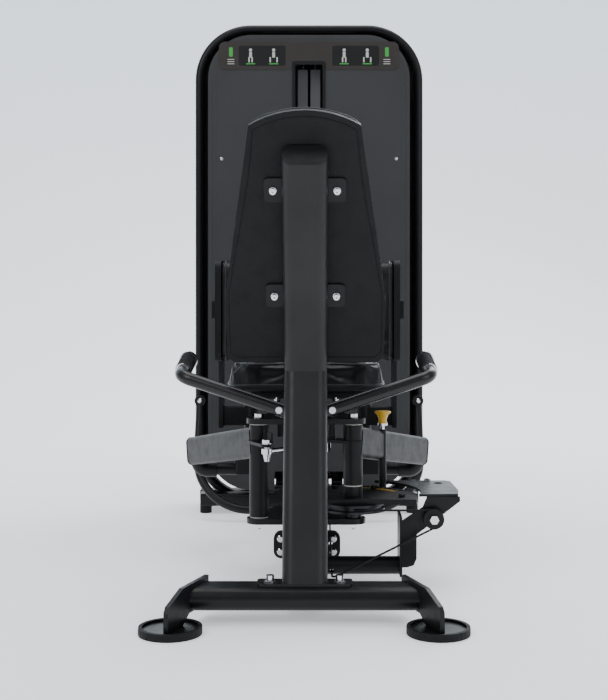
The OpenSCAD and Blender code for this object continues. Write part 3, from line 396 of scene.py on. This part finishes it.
def rounded_outline(width, height, radius, steps=10, centre=(0.0, 0.0)):
    """Points of a round-cornered rectangle, counter-clockwise.

    Args:
        width: full width.
        height: full height.
        radius: corner radius.
        steps: points per corner.
        centre: middle of the rectangle.

    Returns:
        List of (x, y).
    """
    out = []
    for k, (sx, sy) in enumerate(((1, 1), (-1, 1), (-1, -1), (1, -1))):
        cx, cy = centre[0] + sx * (width / 2 - radius), centre[1] + sy * (height / 2 - radius)
        for i in range(steps + 1):
            a = math.pi / 2 * (k + i / steps)
            out.append((cx + radius * math.cos(a), cy + radius * math.sin(a)))
    return out


def band(outer, inner, low, high, place):
    """Draws a flat ring between two outlines of equal length, with thickness.

    Args:
        outer: outer outline, counter-clockwise.
        inner: inner outline with as many points.
        low: level of the back.
        high: level of the front.
        place: function from (x, y, level) to a point.

    Returns:
        (verts, faces).
    """
    n = len(outer)
    rings = [(outer, low), (outer, high), (inner, high), (inner, low)]
    verts = [place(x, y, level) for outline, level in rings for x, y in outline]
    faces = []
    for r in range(4):
        for i in range(n):
            j = (i + 1) % n
            s = (r + 1) % 4
            faces.append((r * n + i, r * n + j, s * n + j, s * n + i))
    return verts, faces


def slab(outline, low, high, place):
    """Draws a plate with a given outline.

    Args:
        outline: counter-clockwise outline.
        low: level of the back.
        high: level of the front.
        place: function from (x, y, level) to a point.

    Returns:
        (verts, faces).
    """
    n = len(outline)
    verts = [place(x, y, level) for level in (low, high) for x, y in outline]
    faces = [tuple(range(n - 1, -1, -1)), tuple(range(n, 2 * n))]
    faces += [(i, (i + 1) % n, n + (i + 1) % n, n + i) for i in range(n)]
    return verts, faces


def merge(parts):
    """Joins several (verts, faces) pairs.

    Args:
        parts: list of (verts, faces).

    Returns:
        One (verts, faces).
    """
    verts, faces = [], []
    for v, f in parts:
        base = len(verts)
        verts += list(v)
        faces += [tuple(i + base for i in face) for face in f]
    return verts, faces


class Repeater:
    """Geometry Nodes setup that places one small shape at many points of one body."""

    def __init__(self):
        self.tree = bpy.data.node_groups.new("repeat_shape", "GeometryNodeTree")
        face = self.tree.interface
        face.new_socket(name="Geometry", in_out="INPUT", socket_type="NodeSocketGeometry")
        self.shape = face.new_socket(name="Shape", in_out="INPUT", socket_type="NodeSocketObject")
        self.paint = face.new_socket(name="Finish", in_out="INPUT", socket_type="NodeSocketMaterial")
        face.new_socket(name="Geometry", in_out="OUTPUT", socket_type="NodeSocketGeometry")
        new, link = self.tree.nodes.new, self.tree.links.new
        into, out = new("NodeGroupInput"), new("NodeGroupOutput")
        info = new("GeometryNodeObjectInfo")
        turn = new("GeometryNodeInputNamedAttribute")
        turn.data_type = "FLOAT_VECTOR"
        turn.inputs["Name"].default_value = "turn"
        spin = new("FunctionNodeEulerToRotation")
        place = new("GeometryNodeInstanceOnPoints")
        real = new("GeometryNodeRealizeInstances")
        dress = new("GeometryNodeSetMaterial")
        link(into.outputs["Geometry"], place.inputs["Points"])
        link(into.outputs["Shape"], info.inputs["Object"])
        link(info.outputs["Geometry"], place.inputs["Instance"])
        link(turn.outputs["Attribute"], spin.inputs["Euler"])
        link(spin.outputs["Rotation"], place.inputs["Rotation"])
        link(place.outputs["Instances"], real.inputs["Geometry"])
        link(real.outputs["Geometry"], dress.inputs["Geometry"])
        link(into.outputs["Finish"], dress.inputs["Material"])
        link(dress.outputs["Geometry"], out.inputs["Geometry"])

    def build(self, name, shape, places, finish, body, slot=None, crease=35.0):
        """Places copies of a shape and leaves one plain mesh.

        Args:
            name: name of the finished object.
            shape: (verts, faces) around the origin.
            places: list of (point, (rx, ry, rz)).
            finish: name of the material.
            body: CAD body that the copies ride on.
            slot: record slot, if any; not used.
            crease: sharp edge angle in degrees.

        Returns:
            The finished object.
        """
        seed = new_object(name + "_seed", shape[0], shape[1], finish)
        holder = new_object(name + "_points", [p for p, _ in places], [], finish)
        spins = holder.data.attributes.new("turn", "FLOAT_VECTOR", "POINT")
        for i, (_, turn) in enumerate(places):
            spins.data[i].vector = turn
        step = holder.modifiers.new("repeat", "NODES")
        step.node_group = self.tree
        step[self.shape.identifier] = seed
        step[self.paint.identifier] = MATERIALS[finish]
        bpy.context.view_layer.update()
        graph = bpy.context.evaluated_depsgraph_get()
        mesh = bpy.data.meshes.new_from_object(holder.evaluated_get(graph))
        for o in (seed, holder):
            bpy.data.objects.remove(o)
        mesh.name = name
        obj = bpy.data.objects.new(name, mesh)
        bpy.context.scene.collection.objects.link(obj)
        return finish_piece(obj, body, crease)


REPEAT = Repeater()


def lathe(profile, sides=24):
    """Turns a profile around z.

    Args:
        profile: list of (radius, z) from the low axis point to the high one.
        sides: number of sides.

    Returns:
        (verts, faces).
    """
    verts, faces = [], []
    for r, z in profile:
        turns = [2 * math.pi * k / sides for k in range(sides)]
        verts += [(r * math.cos(a), r * math.sin(a), z) for a in turns]
    rows = len(profile)
    for i in range(rows - 1):
        for k in range(sides):
            m = (k + 1) % sides
            faces.append((i * sides + k, i * sides + m, (i + 1) * sides + m, (i + 1) * sides + k))
    faces.append(tuple(range(sides - 1, -1, -1)))
    faces.append(tuple((rows - 1) * sides + k for k in range(sides)))
    return verts, faces


def facing(front):
    """Makes the placing function of a face that looks toward -Y.

    Args:
        front: y of the face.

    Returns:
        Function from (x, z, distance in front of the face) to a point.
    """
    return lambda x, z, out: (x, front - out, z)


def upright(x, y, z):
    """Leaves a point as it is, for shapes drawn around the origin."""
    return x, y, z


def plate(width, height, radius, centre=(0.0, 0.0)):
    """Outline of a small plate with short rounded corners."""
    return rounded_outline(width, height, radius, 3, centre)


def flat_piece(name, parts, finish):
    """Joins flat-shaded parts into one piece of the frame body."""
    obj = new_object(name, *merge(parts), finish, False)
    tidy_normals(obj)
    return finish_piece(obj, "frame")


# ---------------------------------------------------------------- upholstery


@dataclass(frozen=True)
class Foam:
    """How a cushion is stuffed.

    Args:
        shrink: how much smaller than the CAD solid the blank starts, in metres.
        voxel: remesh size in metres.
        crown: largest outward movement in metres.
        pressure: cloth pressure.
        fill: 0 slack to 1 tight; not used.
    """

    shrink: float
    voxel: float
    crown: float
    pressure: float = 4.0
    fill: float = 0.8


@dataclass(frozen=True)
class Seam:
    """Sizes of the piping and stitches, in metres.

    Args:
        piping_r: radius of the piping.
        piping_rise: height of the piping's middle above the vinyl.
        stitch_l: length of a stitch.
        stitch_w: width of a stitch.
        stitch_gap: distance of the stitches from the piping.
        stitch_rise: height of the stitches above the vinyl.
    """

    piping_r: float = 0.0022
    piping_rise: float = 0.0004
    stitch_l: float = 0.0030
    stitch_w: float = 0.0008
    stitch_gap: float = 0.0065
    stitch_rise: float = 0.0002


SEAM = Seam()
CLOTH = {
    "quality": 4,
    "mass": 0.3,
    "tension_stiffness": 12.0,
    "compression_stiffness": 12.0,
    "shear_stiffness": 6.0,
    "bending_stiffness": 1.5,
    "use_pressure": True,
    "vertex_group_mass": "held",
}
LAST_FRAME = 20


@dataclass
class Cushion:
    """A foam pad covered in vinyl, blown up as cloth against its board.

    Args:
        node: CAD node that it stands for.
        body: body that it rides on.
        back: unit vector toward the board.
        foam: how it is stuffed.
        levels: depths of the piped seams, as shares of the thickness from the board.
        obj: the finished mesh.
    """

    node: str
    body: str
    back: tuple
    foam: Foam
    levels: tuple = (0.22, 0.80)
    obj: object = field(default=None)

    def build(self):
        """Makes the cushion, its piping and its stitches.

        Returns:
            The cushion's object.
        """
        blank = self._blank()
        self.obj = self._inflate(blank)
        self.obj.name = self.node + "_soft"
        self.obj.data.name = self.obj.name
        for p in self.obj.data.polygons:
            p.use_smooth = True
        finish_piece(self.obj, self.body)
        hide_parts(self.node)
        self._seams()
        return self.obj

    def _blank(self):
        """Copies the CAD solid, a little smaller away from its board, and remeshes it."""
        source = frame["nodes"][self.node]
        mesh = source.data.copy()
        obj = bpy.data.objects.new(self.node + "_blank", mesh)
        bpy.context.scene.collection.objects.link(obj)
        mesh.materials.clear()
        mesh.materials.append(MATERIALS["cushion_vinyl"])
        back = np.array(self.back)
        co = np.array([v.co[:] for v in mesh.vertices])
        depth = co @ back
        rest = depth.max()
        span = rest - depth.min()
        middle = co.mean(axis=0)
        flat = co - np.outer(depth, back)
        centre = middle - back * (middle @ back)
        out = flat - centre
        reach = np.linalg.norm(out, axis=1, keepdims=True)
        flat = centre + out * (1 - self.foam.shrink / np.maximum(reach, 1e-6))
        depth = rest - (rest - depth) * (1 - self.foam.shrink / span)
        co = flat + np.outer(depth, back)
        mesh.vertices.foreach_set("co", co.ravel())
        mesh.update()
        step = obj.modifiers.new("voxels", "REMESH")
        step.mode = "VOXEL"
        step.voxel_size = self.foam.voxel
        step.use_smooth_shade = True
        soften = obj.modifiers.new("soften", "SMOOTH")
        soften.factor = 0.5
        soften.iterations = 6
        return self._apply(obj)

    @staticmethod
    def _apply(obj):
        """Replaces an object's mesh with its evaluated one and drops its modifiers."""
        bpy.context.view_layer.update()
        graph = bpy.context.evaluated_depsgraph_get()
        mesh = bpy.data.meshes.new_from_object(obj.evaluated_get(graph))
        obj.modifiers.clear()
        obj.data = mesh
        return obj

    def _inflate(self, obj):
        """Blows the blank up as cloth, with the face on the board held, and caps the movement."""
        back = np.array(self.back)
        start = np.array([v.co[:] for v in obj.data.vertices])
        depth = start @ back
        rest = depth.max()
        held = obj.vertex_groups.new(name="held")
        held.add([int(i) for i in np.nonzero(depth > rest - self.foam.voxel * 0.6)[0]], 1.0, "REPLACE")
        cloth = obj.modifiers.new("cloth", "CLOTH")
        for setting, value in CLOTH.items():
            setattr(cloth.settings, setting, value)
        cloth.settings.uniform_pressure_force = self.foam.pressure
        cloth.settings.effector_weights.gravity = 0.0
        cloth.collision_settings.use_collision = False
        cloth.point_cache.frame_start = 1
        cloth.point_cache.frame_end = LAST_FRAME
        scene = bpy.context.scene
        for number in range(1, LAST_FRAME + 1):
            scene.frame_set(number)
        graph = bpy.context.evaluated_depsgraph_get()
        mesh = bpy.data.meshes.new_from_object(obj.evaluated_get(graph))
        obj.modifiers.clear()
        moved = np.array([v.co[:] for v in mesh.vertices]) - start
        length = np.linalg.norm(moved, axis=1, keepdims=True)
        moved *= np.minimum(1.0, self.foam.crown / np.maximum(length, 1e-9))
        mesh.vertices.foreach_set("co", (start + moved).ravel())
        mesh.update()
        obj.data = mesh
        scene.frame_set(1)
        fine = obj.modifiers.new("fine", "SUBSURF")
        fine.levels = fine.render_levels = 1
        return self._apply(obj)

    def _outline(self, level, samples=160):
        """Finds the cushion's edge at one depth by casting rays at it from outside.

        Args:
            level: share of the thickness from the board.
            samples: number of rays.

        Returns:
            List of (point, outward normal).
        """
        back = Vector(self.back)
        mesh = self.obj.data
        faces = [tuple(p.vertices) for p in mesh.polygons]
        tree = BVHTree.FromPolygons([v.co.copy() for v in mesh.vertices], faces)
        co = [v.co for v in mesh.vertices]
        depth = [c.dot(back) for c in co]
        rest, face = max(depth), min(depth)
        centre = sum((c for c in co), Vector()) / len(co)
        centre += back * (rest - (rest - face) * level - centre.dot(back))
        right = back.orthogonal().normalized()
        up = back.cross(right)
        out = []
        for i in range(samples):
            a = 2 * math.pi * i / samples
            away = right * math.cos(a) + up * math.sin(a)
            hit = tree.ray_cast(centre + away * 1.0, -away)
            if hit[0] is not None:
                out.append((hit[0], hit[1]))
        return out

    def _seams(self):
        """Adds a piped seam and a row of stitches at each level."""
        back = Vector(self.back)
        lines, stitches = [], []
        for level in self.levels:
            hits = self._outline(level)
            lines.append(sweep([p + n * SEAM.piping_rise for p, n in hits], SEAM.piping_r, True))
            for i, (p, n) in enumerate(hits):
                q = hits[(i + 1) % len(hits)][0]
                along = (q - p).normalized()
                toward = along.cross(n).normalized()
                if toward.dot(back) < 0:
                    toward = -toward
                turn = Matrix((along, n.cross(along), n)).transposed().to_euler()
                for share in (0.0, 0.5):
                    spot = p.lerp(q, share) + toward * SEAM.stitch_gap + n * SEAM.stitch_rise
                    stitches.append((spot, tuple(turn)))
        piping = new_object(self.node + "_piping", *merge(lines), "piping_vinyl")
        finish_piece(piping, self.body)
        bar = slab(rounded_outline(SEAM.stitch_l, SEAM.stitch_w, 0.0003, 2), -0.0004, 0.0005, upright)
        REPEAT.build(self.node + "_stitches", bar, stitches, "seam_thread", self.body)


CUSHIONS = (
    Cushion("seat_cushion", "frame", (0.0, 0.0, -1.0), Foam(0.007, 0.006, 0.016)),
    Cushion("back_cushion", "frame", (0.0, 0.0, 0.0), Foam(0.006, 0.006, 0.014), levels=(0.2, 0.82)),
    Cushion("knee_cushion_right", "carrier_right", (1.0, 0.0, 0.0), Foam(0.005, 0.005, 0.010)),
    Cushion("knee_cushion_left", "carrier_left", (-1.0, 0.0, 0.0), Foam(0.005, 0.005, 0.010)),
)


def back_direction():
    """Finds the direction from the back cushion into its shell.

    Returns:
        The unit vector.
    """
    shell = frame["nodes"]["back_shell"].data
    biggest = max(shell.polygons, key=lambda p: p.area)
    normal = biggest.normal.copy()
    if normal.y > 0:
        normal = -normal
    return tuple(normal)


def build_cushions():
    """Builds the four cushions."""
    for cushion in CUSHIONS:
        if cushion.node == "back_cushion":
            cushion.back = back_direction()
        cushion.build()


# ---------------------------------------------------------------- small fittings


@dataclass(frozen=True)
class Tower:
    """Trim of the weight tower, placed from its CAD nodes.

    Args:
        rim_radius: corner radius of the shroud.
        rim_lines: inset, width and height of each raised line.
        screw_inset: distance of the screws from the shroud's sides.
        screw_heights: heights of the screws above the floor.
    """

    rim_radius: float = 0.14
    rim_lines: tuple = ((0.012, 0.0022, 0.0006), (0.026, 0.0014, 0.0004))
    screw_inset: float = 0.044
    screw_heights: tuple = (0.14, 0.42, 0.78, 1.14)

    def build(self):
        """Adds the rim lines, the placard's print, the screws and the slot's liner."""
        (x0, y0, z0), (x1, _, z1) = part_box("near_shroud")
        self._rim(facing(y0), x1 - x0, z1 - z0, (0.0, (z0 + z1) / 2))
        Placard().build()
        self._screws(facing(y0), x1 - x0)
        self._liner()

    def _rim(self, place, width, height, middle):
        parts = []
        for inset, wide, rise in self.rim_lines:
            outlines = [
                rounded_outline(width - 2 * d, height - 2 * d, self.rim_radius - d, 14, middle)
                for d in (inset, inset + wide)
            ]
            parts.append(band(*outlines, -SINK, rise, place))
        obj = new_object("shroud_rim_lines", *merge(parts), "shroud_plastic")
        tidy_normals(obj)
        finish_piece(obj, "frame", 30)

    def _screws(self, place, width):
        profile = [(0.0055, -0.0004), (0.0058, 0.0008), (0.0048, 0.0020), (0.0020, 0.0026), (0.0018, 0.0016)]
        reach = width / 2 - self.screw_inset
        places = [
            (place(side * reach, z, 0.0), (math.pi / 2, 0, 0))
            for side in (-1, 1)
            for z in self.screw_heights
        ]
        REPEAT.build("shroud_screws", lathe(profile, 16), places, "bright_chrome", "frame", "bright_chrome")

    @staticmethod
    def _liner():
        """Stands two pale strips behind the slot, above the stack, with the dark between them."""
        _, (_, back, top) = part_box("slot_trim")
        top -= 0.012
        low, behind = 0.74, 0.078
        place = facing(back + behind)
        strip_w, strip_x, strip_t = 0.032, 0.0205, 0.0015
        parts = [
            slab(plate(strip_w, top - low, 0.003, (side * strip_x, (top + low) / 2)), 0, strip_t, place)
            for side in (-1, 1)
        ]
        flat_piece("slot_liner", parts, "liner_grey")


@dataclass(frozen=True)
class Placard:
    """Generic figures, bars and marks printed on the placard, alike on both halves.

    Args:
        panel_x: middle of each dark panel.
        figure_x: distance of each figure from its panel's middle.
        mark_x: middle of the green mark and its bars.
        panel_ink: thickness of what is printed on the placard itself.
        mark_ink: thickness of the outer marks.
    """

    panel_x: float = 0.150
    figure_x: float = 0.037
    mark_x: float = 0.250
    panel_ink: float = 0.0003
    mark_ink: float = 0.0004

    def build(self):
        """Prints the panels, figures and marks."""
        (_, front, z0), (_, _, z1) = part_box("placard")
        place, mid = facing(front), (z0 + z1) / 2
        inks = {"green": [], "pale": [], "dark": []}

        def on_placard(ink, outline, rise):
            inks[ink].append(slab(outline, 0, rise, place))

        def on_panel(ink, outline):
            inks[ink].append(slab(outline, self.panel_ink, 2 * self.panel_ink, place))

        for side in (-1, 1):
            panel = side * self.panel_x
            on_placard("dark", plate(0.150, 0.064, 0.006, (panel, mid)), self.panel_ink)
            for which in (-1, 1):
                x = panel + which * self.figure_x
                on_panel("pale", self._disc(x, mid + 0.018, 0.0052))
                on_panel("pale", plate(0.009, 0.018, 0.0015, (x, mid + 0.003)))
                spread = 0.011 if which > 0 else 0.005
                for leg in (-1, 1):
                    on_panel("pale", plate(0.0045, 0.017, 0.0015, (x + leg * spread, mid - 0.013)))
                on_panel("green", plate(0.030, 0.0035, 0.0015, (x, mid - 0.026)))
            mark = side * self.mark_x
            on_placard("green", plate(0.012, 0.030, 0.003, (mark, mid + 0.012)), self.mark_ink)
            for row in range(3):
                bar = plate(0.022, 0.0022, 0.0008, (mark, mid - 0.012 - row * 0.007))
                on_placard("pale", bar, self.mark_ink)
        for ink, parts in inks.items():
            flat_piece("placard_" + ink, parts, "print_" + ink)

    @staticmethod
    def _disc(x, z, radius, sides=16):
        turns = [2 * math.pi * k / sides for k in range(sides)]
        return [(x + radius * math.cos(a), z + radius * math.sin(a)) for a in turns]


@dataclass(frozen=True)
class Grips:
    """Ribs of the hand grips, along each grip's axis.

    Args:
        ribs: number of ribs on each grip.
        radius: radius of the sleeve that the ribs stand on.
        sink: depth of a rib's foot inside the sleeve.
        rise: height of a rib above the sleeve.
        end: length at each end whose points give the axis.
        margin: share of the axis left plain at each end.
    """

    ribs: int = 15
    radius: float = 0.0199
    sink: float = 0.0006
    rise: float = 0.0009
    end: float = 0.012
    margin: float = 0.04

    def build(self):
        """Adds ribs to both grips."""
        mesh = frame["nodes"]["hand_grips"].data
        co = np.array([v.co[:] for v in mesh.vertices])
        places = []
        for side in (1, -1):
            points = co[co[:, 0] * side > 0]
            low, high = points[:, 1].min(), points[:, 1].max()
            start = Vector(points[points[:, 1] < low + self.end].mean(axis=0))
            stop = Vector(points[points[:, 1] > high - self.end].mean(axis=0))
            turn = (stop - start).normalized().to_track_quat("Z", "Y").to_euler()
            for k in range(self.ribs):
                share = self.margin + (1 - 2 * self.margin) * (k + 0.5) / self.ribs
                places.append((start.lerp(stop, share), tuple(turn)))
        foot, crest = self.radius - self.sink, self.radius + self.rise
        half_foot, half_crest = 0.0018, 0.0009
        rib = lathe([(foot, -half_foot), (crest, -half_crest), (crest, half_crest), (foot, half_foot)], 32)
        REPEAT.build("grip_ribs", rib, places, "grip_rubber", "frame", "grip_rubber")


@dataclass(frozen=True)
class Selector:
    """Yellow marks on the start selector.

    Args:
        radius: distance of the marks from the pivot.
        ticks: number of marks.
        pivot: x and y of the pivot, and z of the plate's top.
        middle: heading of the middle mark in degrees.
        pitch: degrees between marks.
    """

    radius: float = 0.1225
    ticks: int = 13
    pivot: tuple = (0.1134, -0.380, 0.222)
    middle: float = 57.0
    pitch: float = 4.0

    def build(self):
        """Adds the yellow ticks round the index holes."""
        x, y, top = self.pivot
        places = []
        for k in range(self.ticks):
            a = math.radians(self.middle + (k - (self.ticks - 1) / 2) * self.pitch)
            places.append(((x + self.radius * math.cos(a), y + self.radius * math.sin(a), top), (0, 0, a)))
        bar = slab(rounded_outline(0.015, 0.0028, 0.0006, 2), -SINK, 0.0004, upright)
        REPEAT.build("selector_ticks", bar, places, "yellow_plastic", "selector", "yellow_plastic")


@dataclass(frozen=True)
class Feet:
    """Raised ribs round the rims of the rear feet.

    Args:
        ribs: number of ribs on each foot.
        radius: radius of a foot.
        inset: depth of the ribs' middles inside the rim.
        height: height of the ribs' middles above the floor.
    """

    ribs: int = 36
    radius: float = 0.067
    inset: float = 0.0003
    height: float = 0.008

    def build(self):
        """Adds ribs round each rear foot."""
        (_, front, _), (side_x, _, _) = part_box("rear_feet")
        y = front + self.radius
        reach = self.radius - self.inset
        places = []
        for side in (-1, 1):
            x = side * (side_x - self.radius)
            for k in range(self.ribs):
                a = 2 * math.pi * k / self.ribs
                places.append(((x + reach * math.cos(a), y + reach * math.sin(a), self.height), (0, 0, a)))
        rib = slab(rounded_outline(0.0014, 0.0030, 0.0005, 2), -0.0055, 0.0055, upright)
        REPEAT.build("foot_ribs", rib, places, "foot_rubber", "frame", "foot_rubber")


@dataclass(frozen=True)
class BackShell:
    """Moulded edge line of the back shell.

    Args:
        inset: distance of the line from the shell's edge.
        radius: radius of the line.
        spacing: largest distance between the line's points.
        side_x: distance from the middle beyond which a point is on the rim, not at a bolt hole.
        top_band: height of the strip at the top that holds only rim points.
        low_band: height of the strip at the bottom that holds only rim points.
    """

    inset: float = 0.014
    radius: float = 0.0013
    spacing: float = 0.01
    side_x: float = 0.085
    top_band: float = 0.06
    low_band: float = 0.02

    def build(self):
        """Adds the raised line that runs round the shell's rear face."""
        back = Vector(back_direction())
        right = Vector((1, 0, 0))
        up = right.cross(back)
        if up.z < 0:
            up = -up
        points = [v.co for v in frame["nodes"]["back_shell"].data.vertices]
        rest = max(p.dot(back) for p in points)
        rim = self._rim(points, right, up, back, rest - 1e-4)
        cx = sum(x for x, _ in rim) / len(rim)
        cy = sum(y for _, y in rim) / len(rim)
        rim = {(round(x, 5), round(y, 5)) for x, y in rim}
        line = []
        for x, y in self._dense(sorted(rim, key=lambda q: math.atan2(q[1] - cy, q[0] - cx))):
            share = 1 - self.inset / math.hypot(x - cx, y - cy)
            line.append(right * (cx + (x - cx) * share) + up * (cy + (y - cy) * share) + back * (rest + SINK))
        obj = new_object("back_shell_line", *sweep(line, self.radius, True, 6), "shell_plastic")
        finish_piece(obj, "frame")

    def _rim(self, points, right, up, back, level):
        """Keeps the points of the rear face that lie on its rim."""
        heights = [p.dot(up) for p in points]
        top, low = max(heights) - self.top_band, min(heights) + self.low_band
        rim = []
        for p, height in zip(points, heights):
            on_edge = abs(p.dot(right)) > self.side_x or height > top or height < low
            if on_edge and p.dot(back) > level:
                rim.append((p.dot(right), height))
        return rim

    def _dense(self, rim):
        """Adds points between those of a closed outline."""
        dense = []
        for i, (x, y) in enumerate(rim):
            u, v = rim[(i + 1) % len(rim)]
            steps = max(1, int(math.hypot(u - x, v - y) / self.spacing))
            dense += [(x + (u - x) * k / steps, y + (v - y) * k / steps) for k in range(steps)]
        return dense


# ---------------------------------------------------------------- studio


def build_sky():
    """Sets the even light that comes from all round."""
    world = bpy.data.worlds.new("studio")
    world.use_nodes = True
    sky = world.node_tree.nodes["Background"]
    sky.inputs["Color"].default_value = (0.90, 0.94, 1.0, 1.0)
    sky.inputs["Strength"].default_value = 0.50
    bpy.context.scene.world = world


def backdrop_material():
    """Makes the matt white floor with painted light in its colour and glow: it cools with height and glows
    more toward the back, standing in for how the backdrop is lit.

    Returns:
        The Blender material.
    """
    mat = bpy.data.materials.new("studio_floor")
    mat.use_nodes = True
    new, link = mat.node_tree.nodes.new, mat.node_tree.links.new
    shader = mat.node_tree.nodes["Principled BSDF"]
    shader.inputs["Roughness"].default_value = 0.75
    shader.inputs["Specular IOR Level"].default_value = 0.1
    place, split = new("ShaderNodeTexCoord"), new("ShaderNodeSeparateXYZ")
    height, ramp, glow = new("ShaderNodeMapRange"), new("ShaderNodeValToRGB"), new("ShaderNodeMapRange")
    height.inputs["From Max"].default_value = 3.5
    # painted light: the colour goes from near white low down to a cooler blue higher up, as the lit backdrop
    # looks
    ramp.color_ramp.elements[0].color = (0.93, 0.95, 0.96, 1.0)
    ramp.color_ramp.elements[1].color = (0.72, 0.81, 0.88, 1.0)
    for socket, value in (("From Min", 0.2), ("From Max", 3.0), ("To Min", 0.42), ("To Max", 0.92)):
        glow.inputs[socket].default_value = value
    link(place.outputs["Object"], split.inputs[0])
    link(split.outputs["Z"], height.inputs["Value"])
    link(height.outputs["Result"], ramp.inputs["Fac"])
    link(ramp.outputs["Color"], shader.inputs["Base Color"])
    link(ramp.outputs["Color"], shader.inputs["Emission Color"])
    # painted light: the floor glows more toward the back, standing in for the lit backdrop
    link(split.outputs["Y"], glow.inputs["Value"])
    link(glow.outputs["Result"], shader.inputs["Emission Strength"])
    return mat


def build_backdrop():
    """Lays the floor, which curves up into a wall far behind the machine."""
    span, back, curve, top, floor_z, steps = 12.0, 2.2, 3.2, 9.0, -0.0005, 24
    profile = [(-span, floor_z), (back, floor_z)]
    for k in range(1, steps + 1):
        turn = math.pi / 2 * k / steps
        profile.append((back + curve * math.sin(turn), floor_z + curve * (1 - math.cos(turn))))
    profile.append((back + curve, top))
    verts = [(side * span, y, z) for y, z in profile for side in (-1, 1)]
    faces = [(2 * k, 2 * k + 1, 2 * k + 3, 2 * k + 2) for k in range(len(profile) - 1)]
    mesh = bpy.data.meshes.new("studio_floor")
    mesh.from_pydata(verts, [], faces)
    for face in mesh.polygons:
        face.use_smooth = True
    mesh.materials.append(backdrop_material())
    floor = bpy.data.objects.new("studio_floor", mesh)
    bpy.context.scene.collection.objects.link(floor)


@dataclass(frozen=True)
class Lamp:
    """A square soft lamp.

    Args:
        name: object name.
        spot: where it stands.
        aim: where it points.
        size: side in metres.
        power: watts.
    """

    name: str
    spot: tuple
    aim: tuple
    size: float
    power: float

    def build(self):
        """Hangs the lamp."""
        data = bpy.data.lights.new(self.name, "AREA")
        data.size = self.size
        data.energy = self.power
        lamp = bpy.data.objects.new(self.name, data)
        lamp.location = self.spot
        heading = Vector(self.aim) - Vector(self.spot)
        lamp.rotation_euler = heading.to_track_quat("-Z", "Y").to_euler()
        bpy.context.scene.collection.objects.link(lamp)


LAMPS = (
    Lamp("key", (-2.6, -3.4, 3.6), (0, -0.2, 0.6), 2.6, 85),
    Lamp("fill", (2.8, -2.8, 2.4), (0, 0, 0.6), 2.4, 38),
    Lamp("top", (0.0, 0.2, 4.2), (0, 0.0, 0.5), 3.0, 90),
    Lamp("rim", (1.8, 2.8, 3.0), (0, 0, 0.8), 2.0, 60),
)


def build_studio():
    """Sets the backdrop, the even light and the lamps."""
    build_backdrop()
    build_sky()
    for lamp in LAMPS:
        lamp.build()


def build_camera():
    """Stands the camera behind the seat, level, with its frame shifted down."""
    data = bpy.data.cameras.new("camera")
    data.sensor_width = 36.0
    data.lens = 61.5
    data.shift_x = -0.0194
    data.shift_y = -0.0871
    camera = bpy.data.objects.new("camera", data)
    camera.location = (0.0278, -3.27, 0.722)
    camera.rotation_euler = (math.pi / 2, 0.0, 0.0)
    bpy.context.scene.collection.objects.link(camera)
    bpy.context.scene.camera = camera


def main():
    """Builds the looks in order."""
    paint_cad()
    build_cushions()
    for piece in (Tower(), Grips(), Selector(), Feet(), BackShell()):
        piece.build()
    build_studio()
    build_camera()


if __name__ == "__main__":
    main()
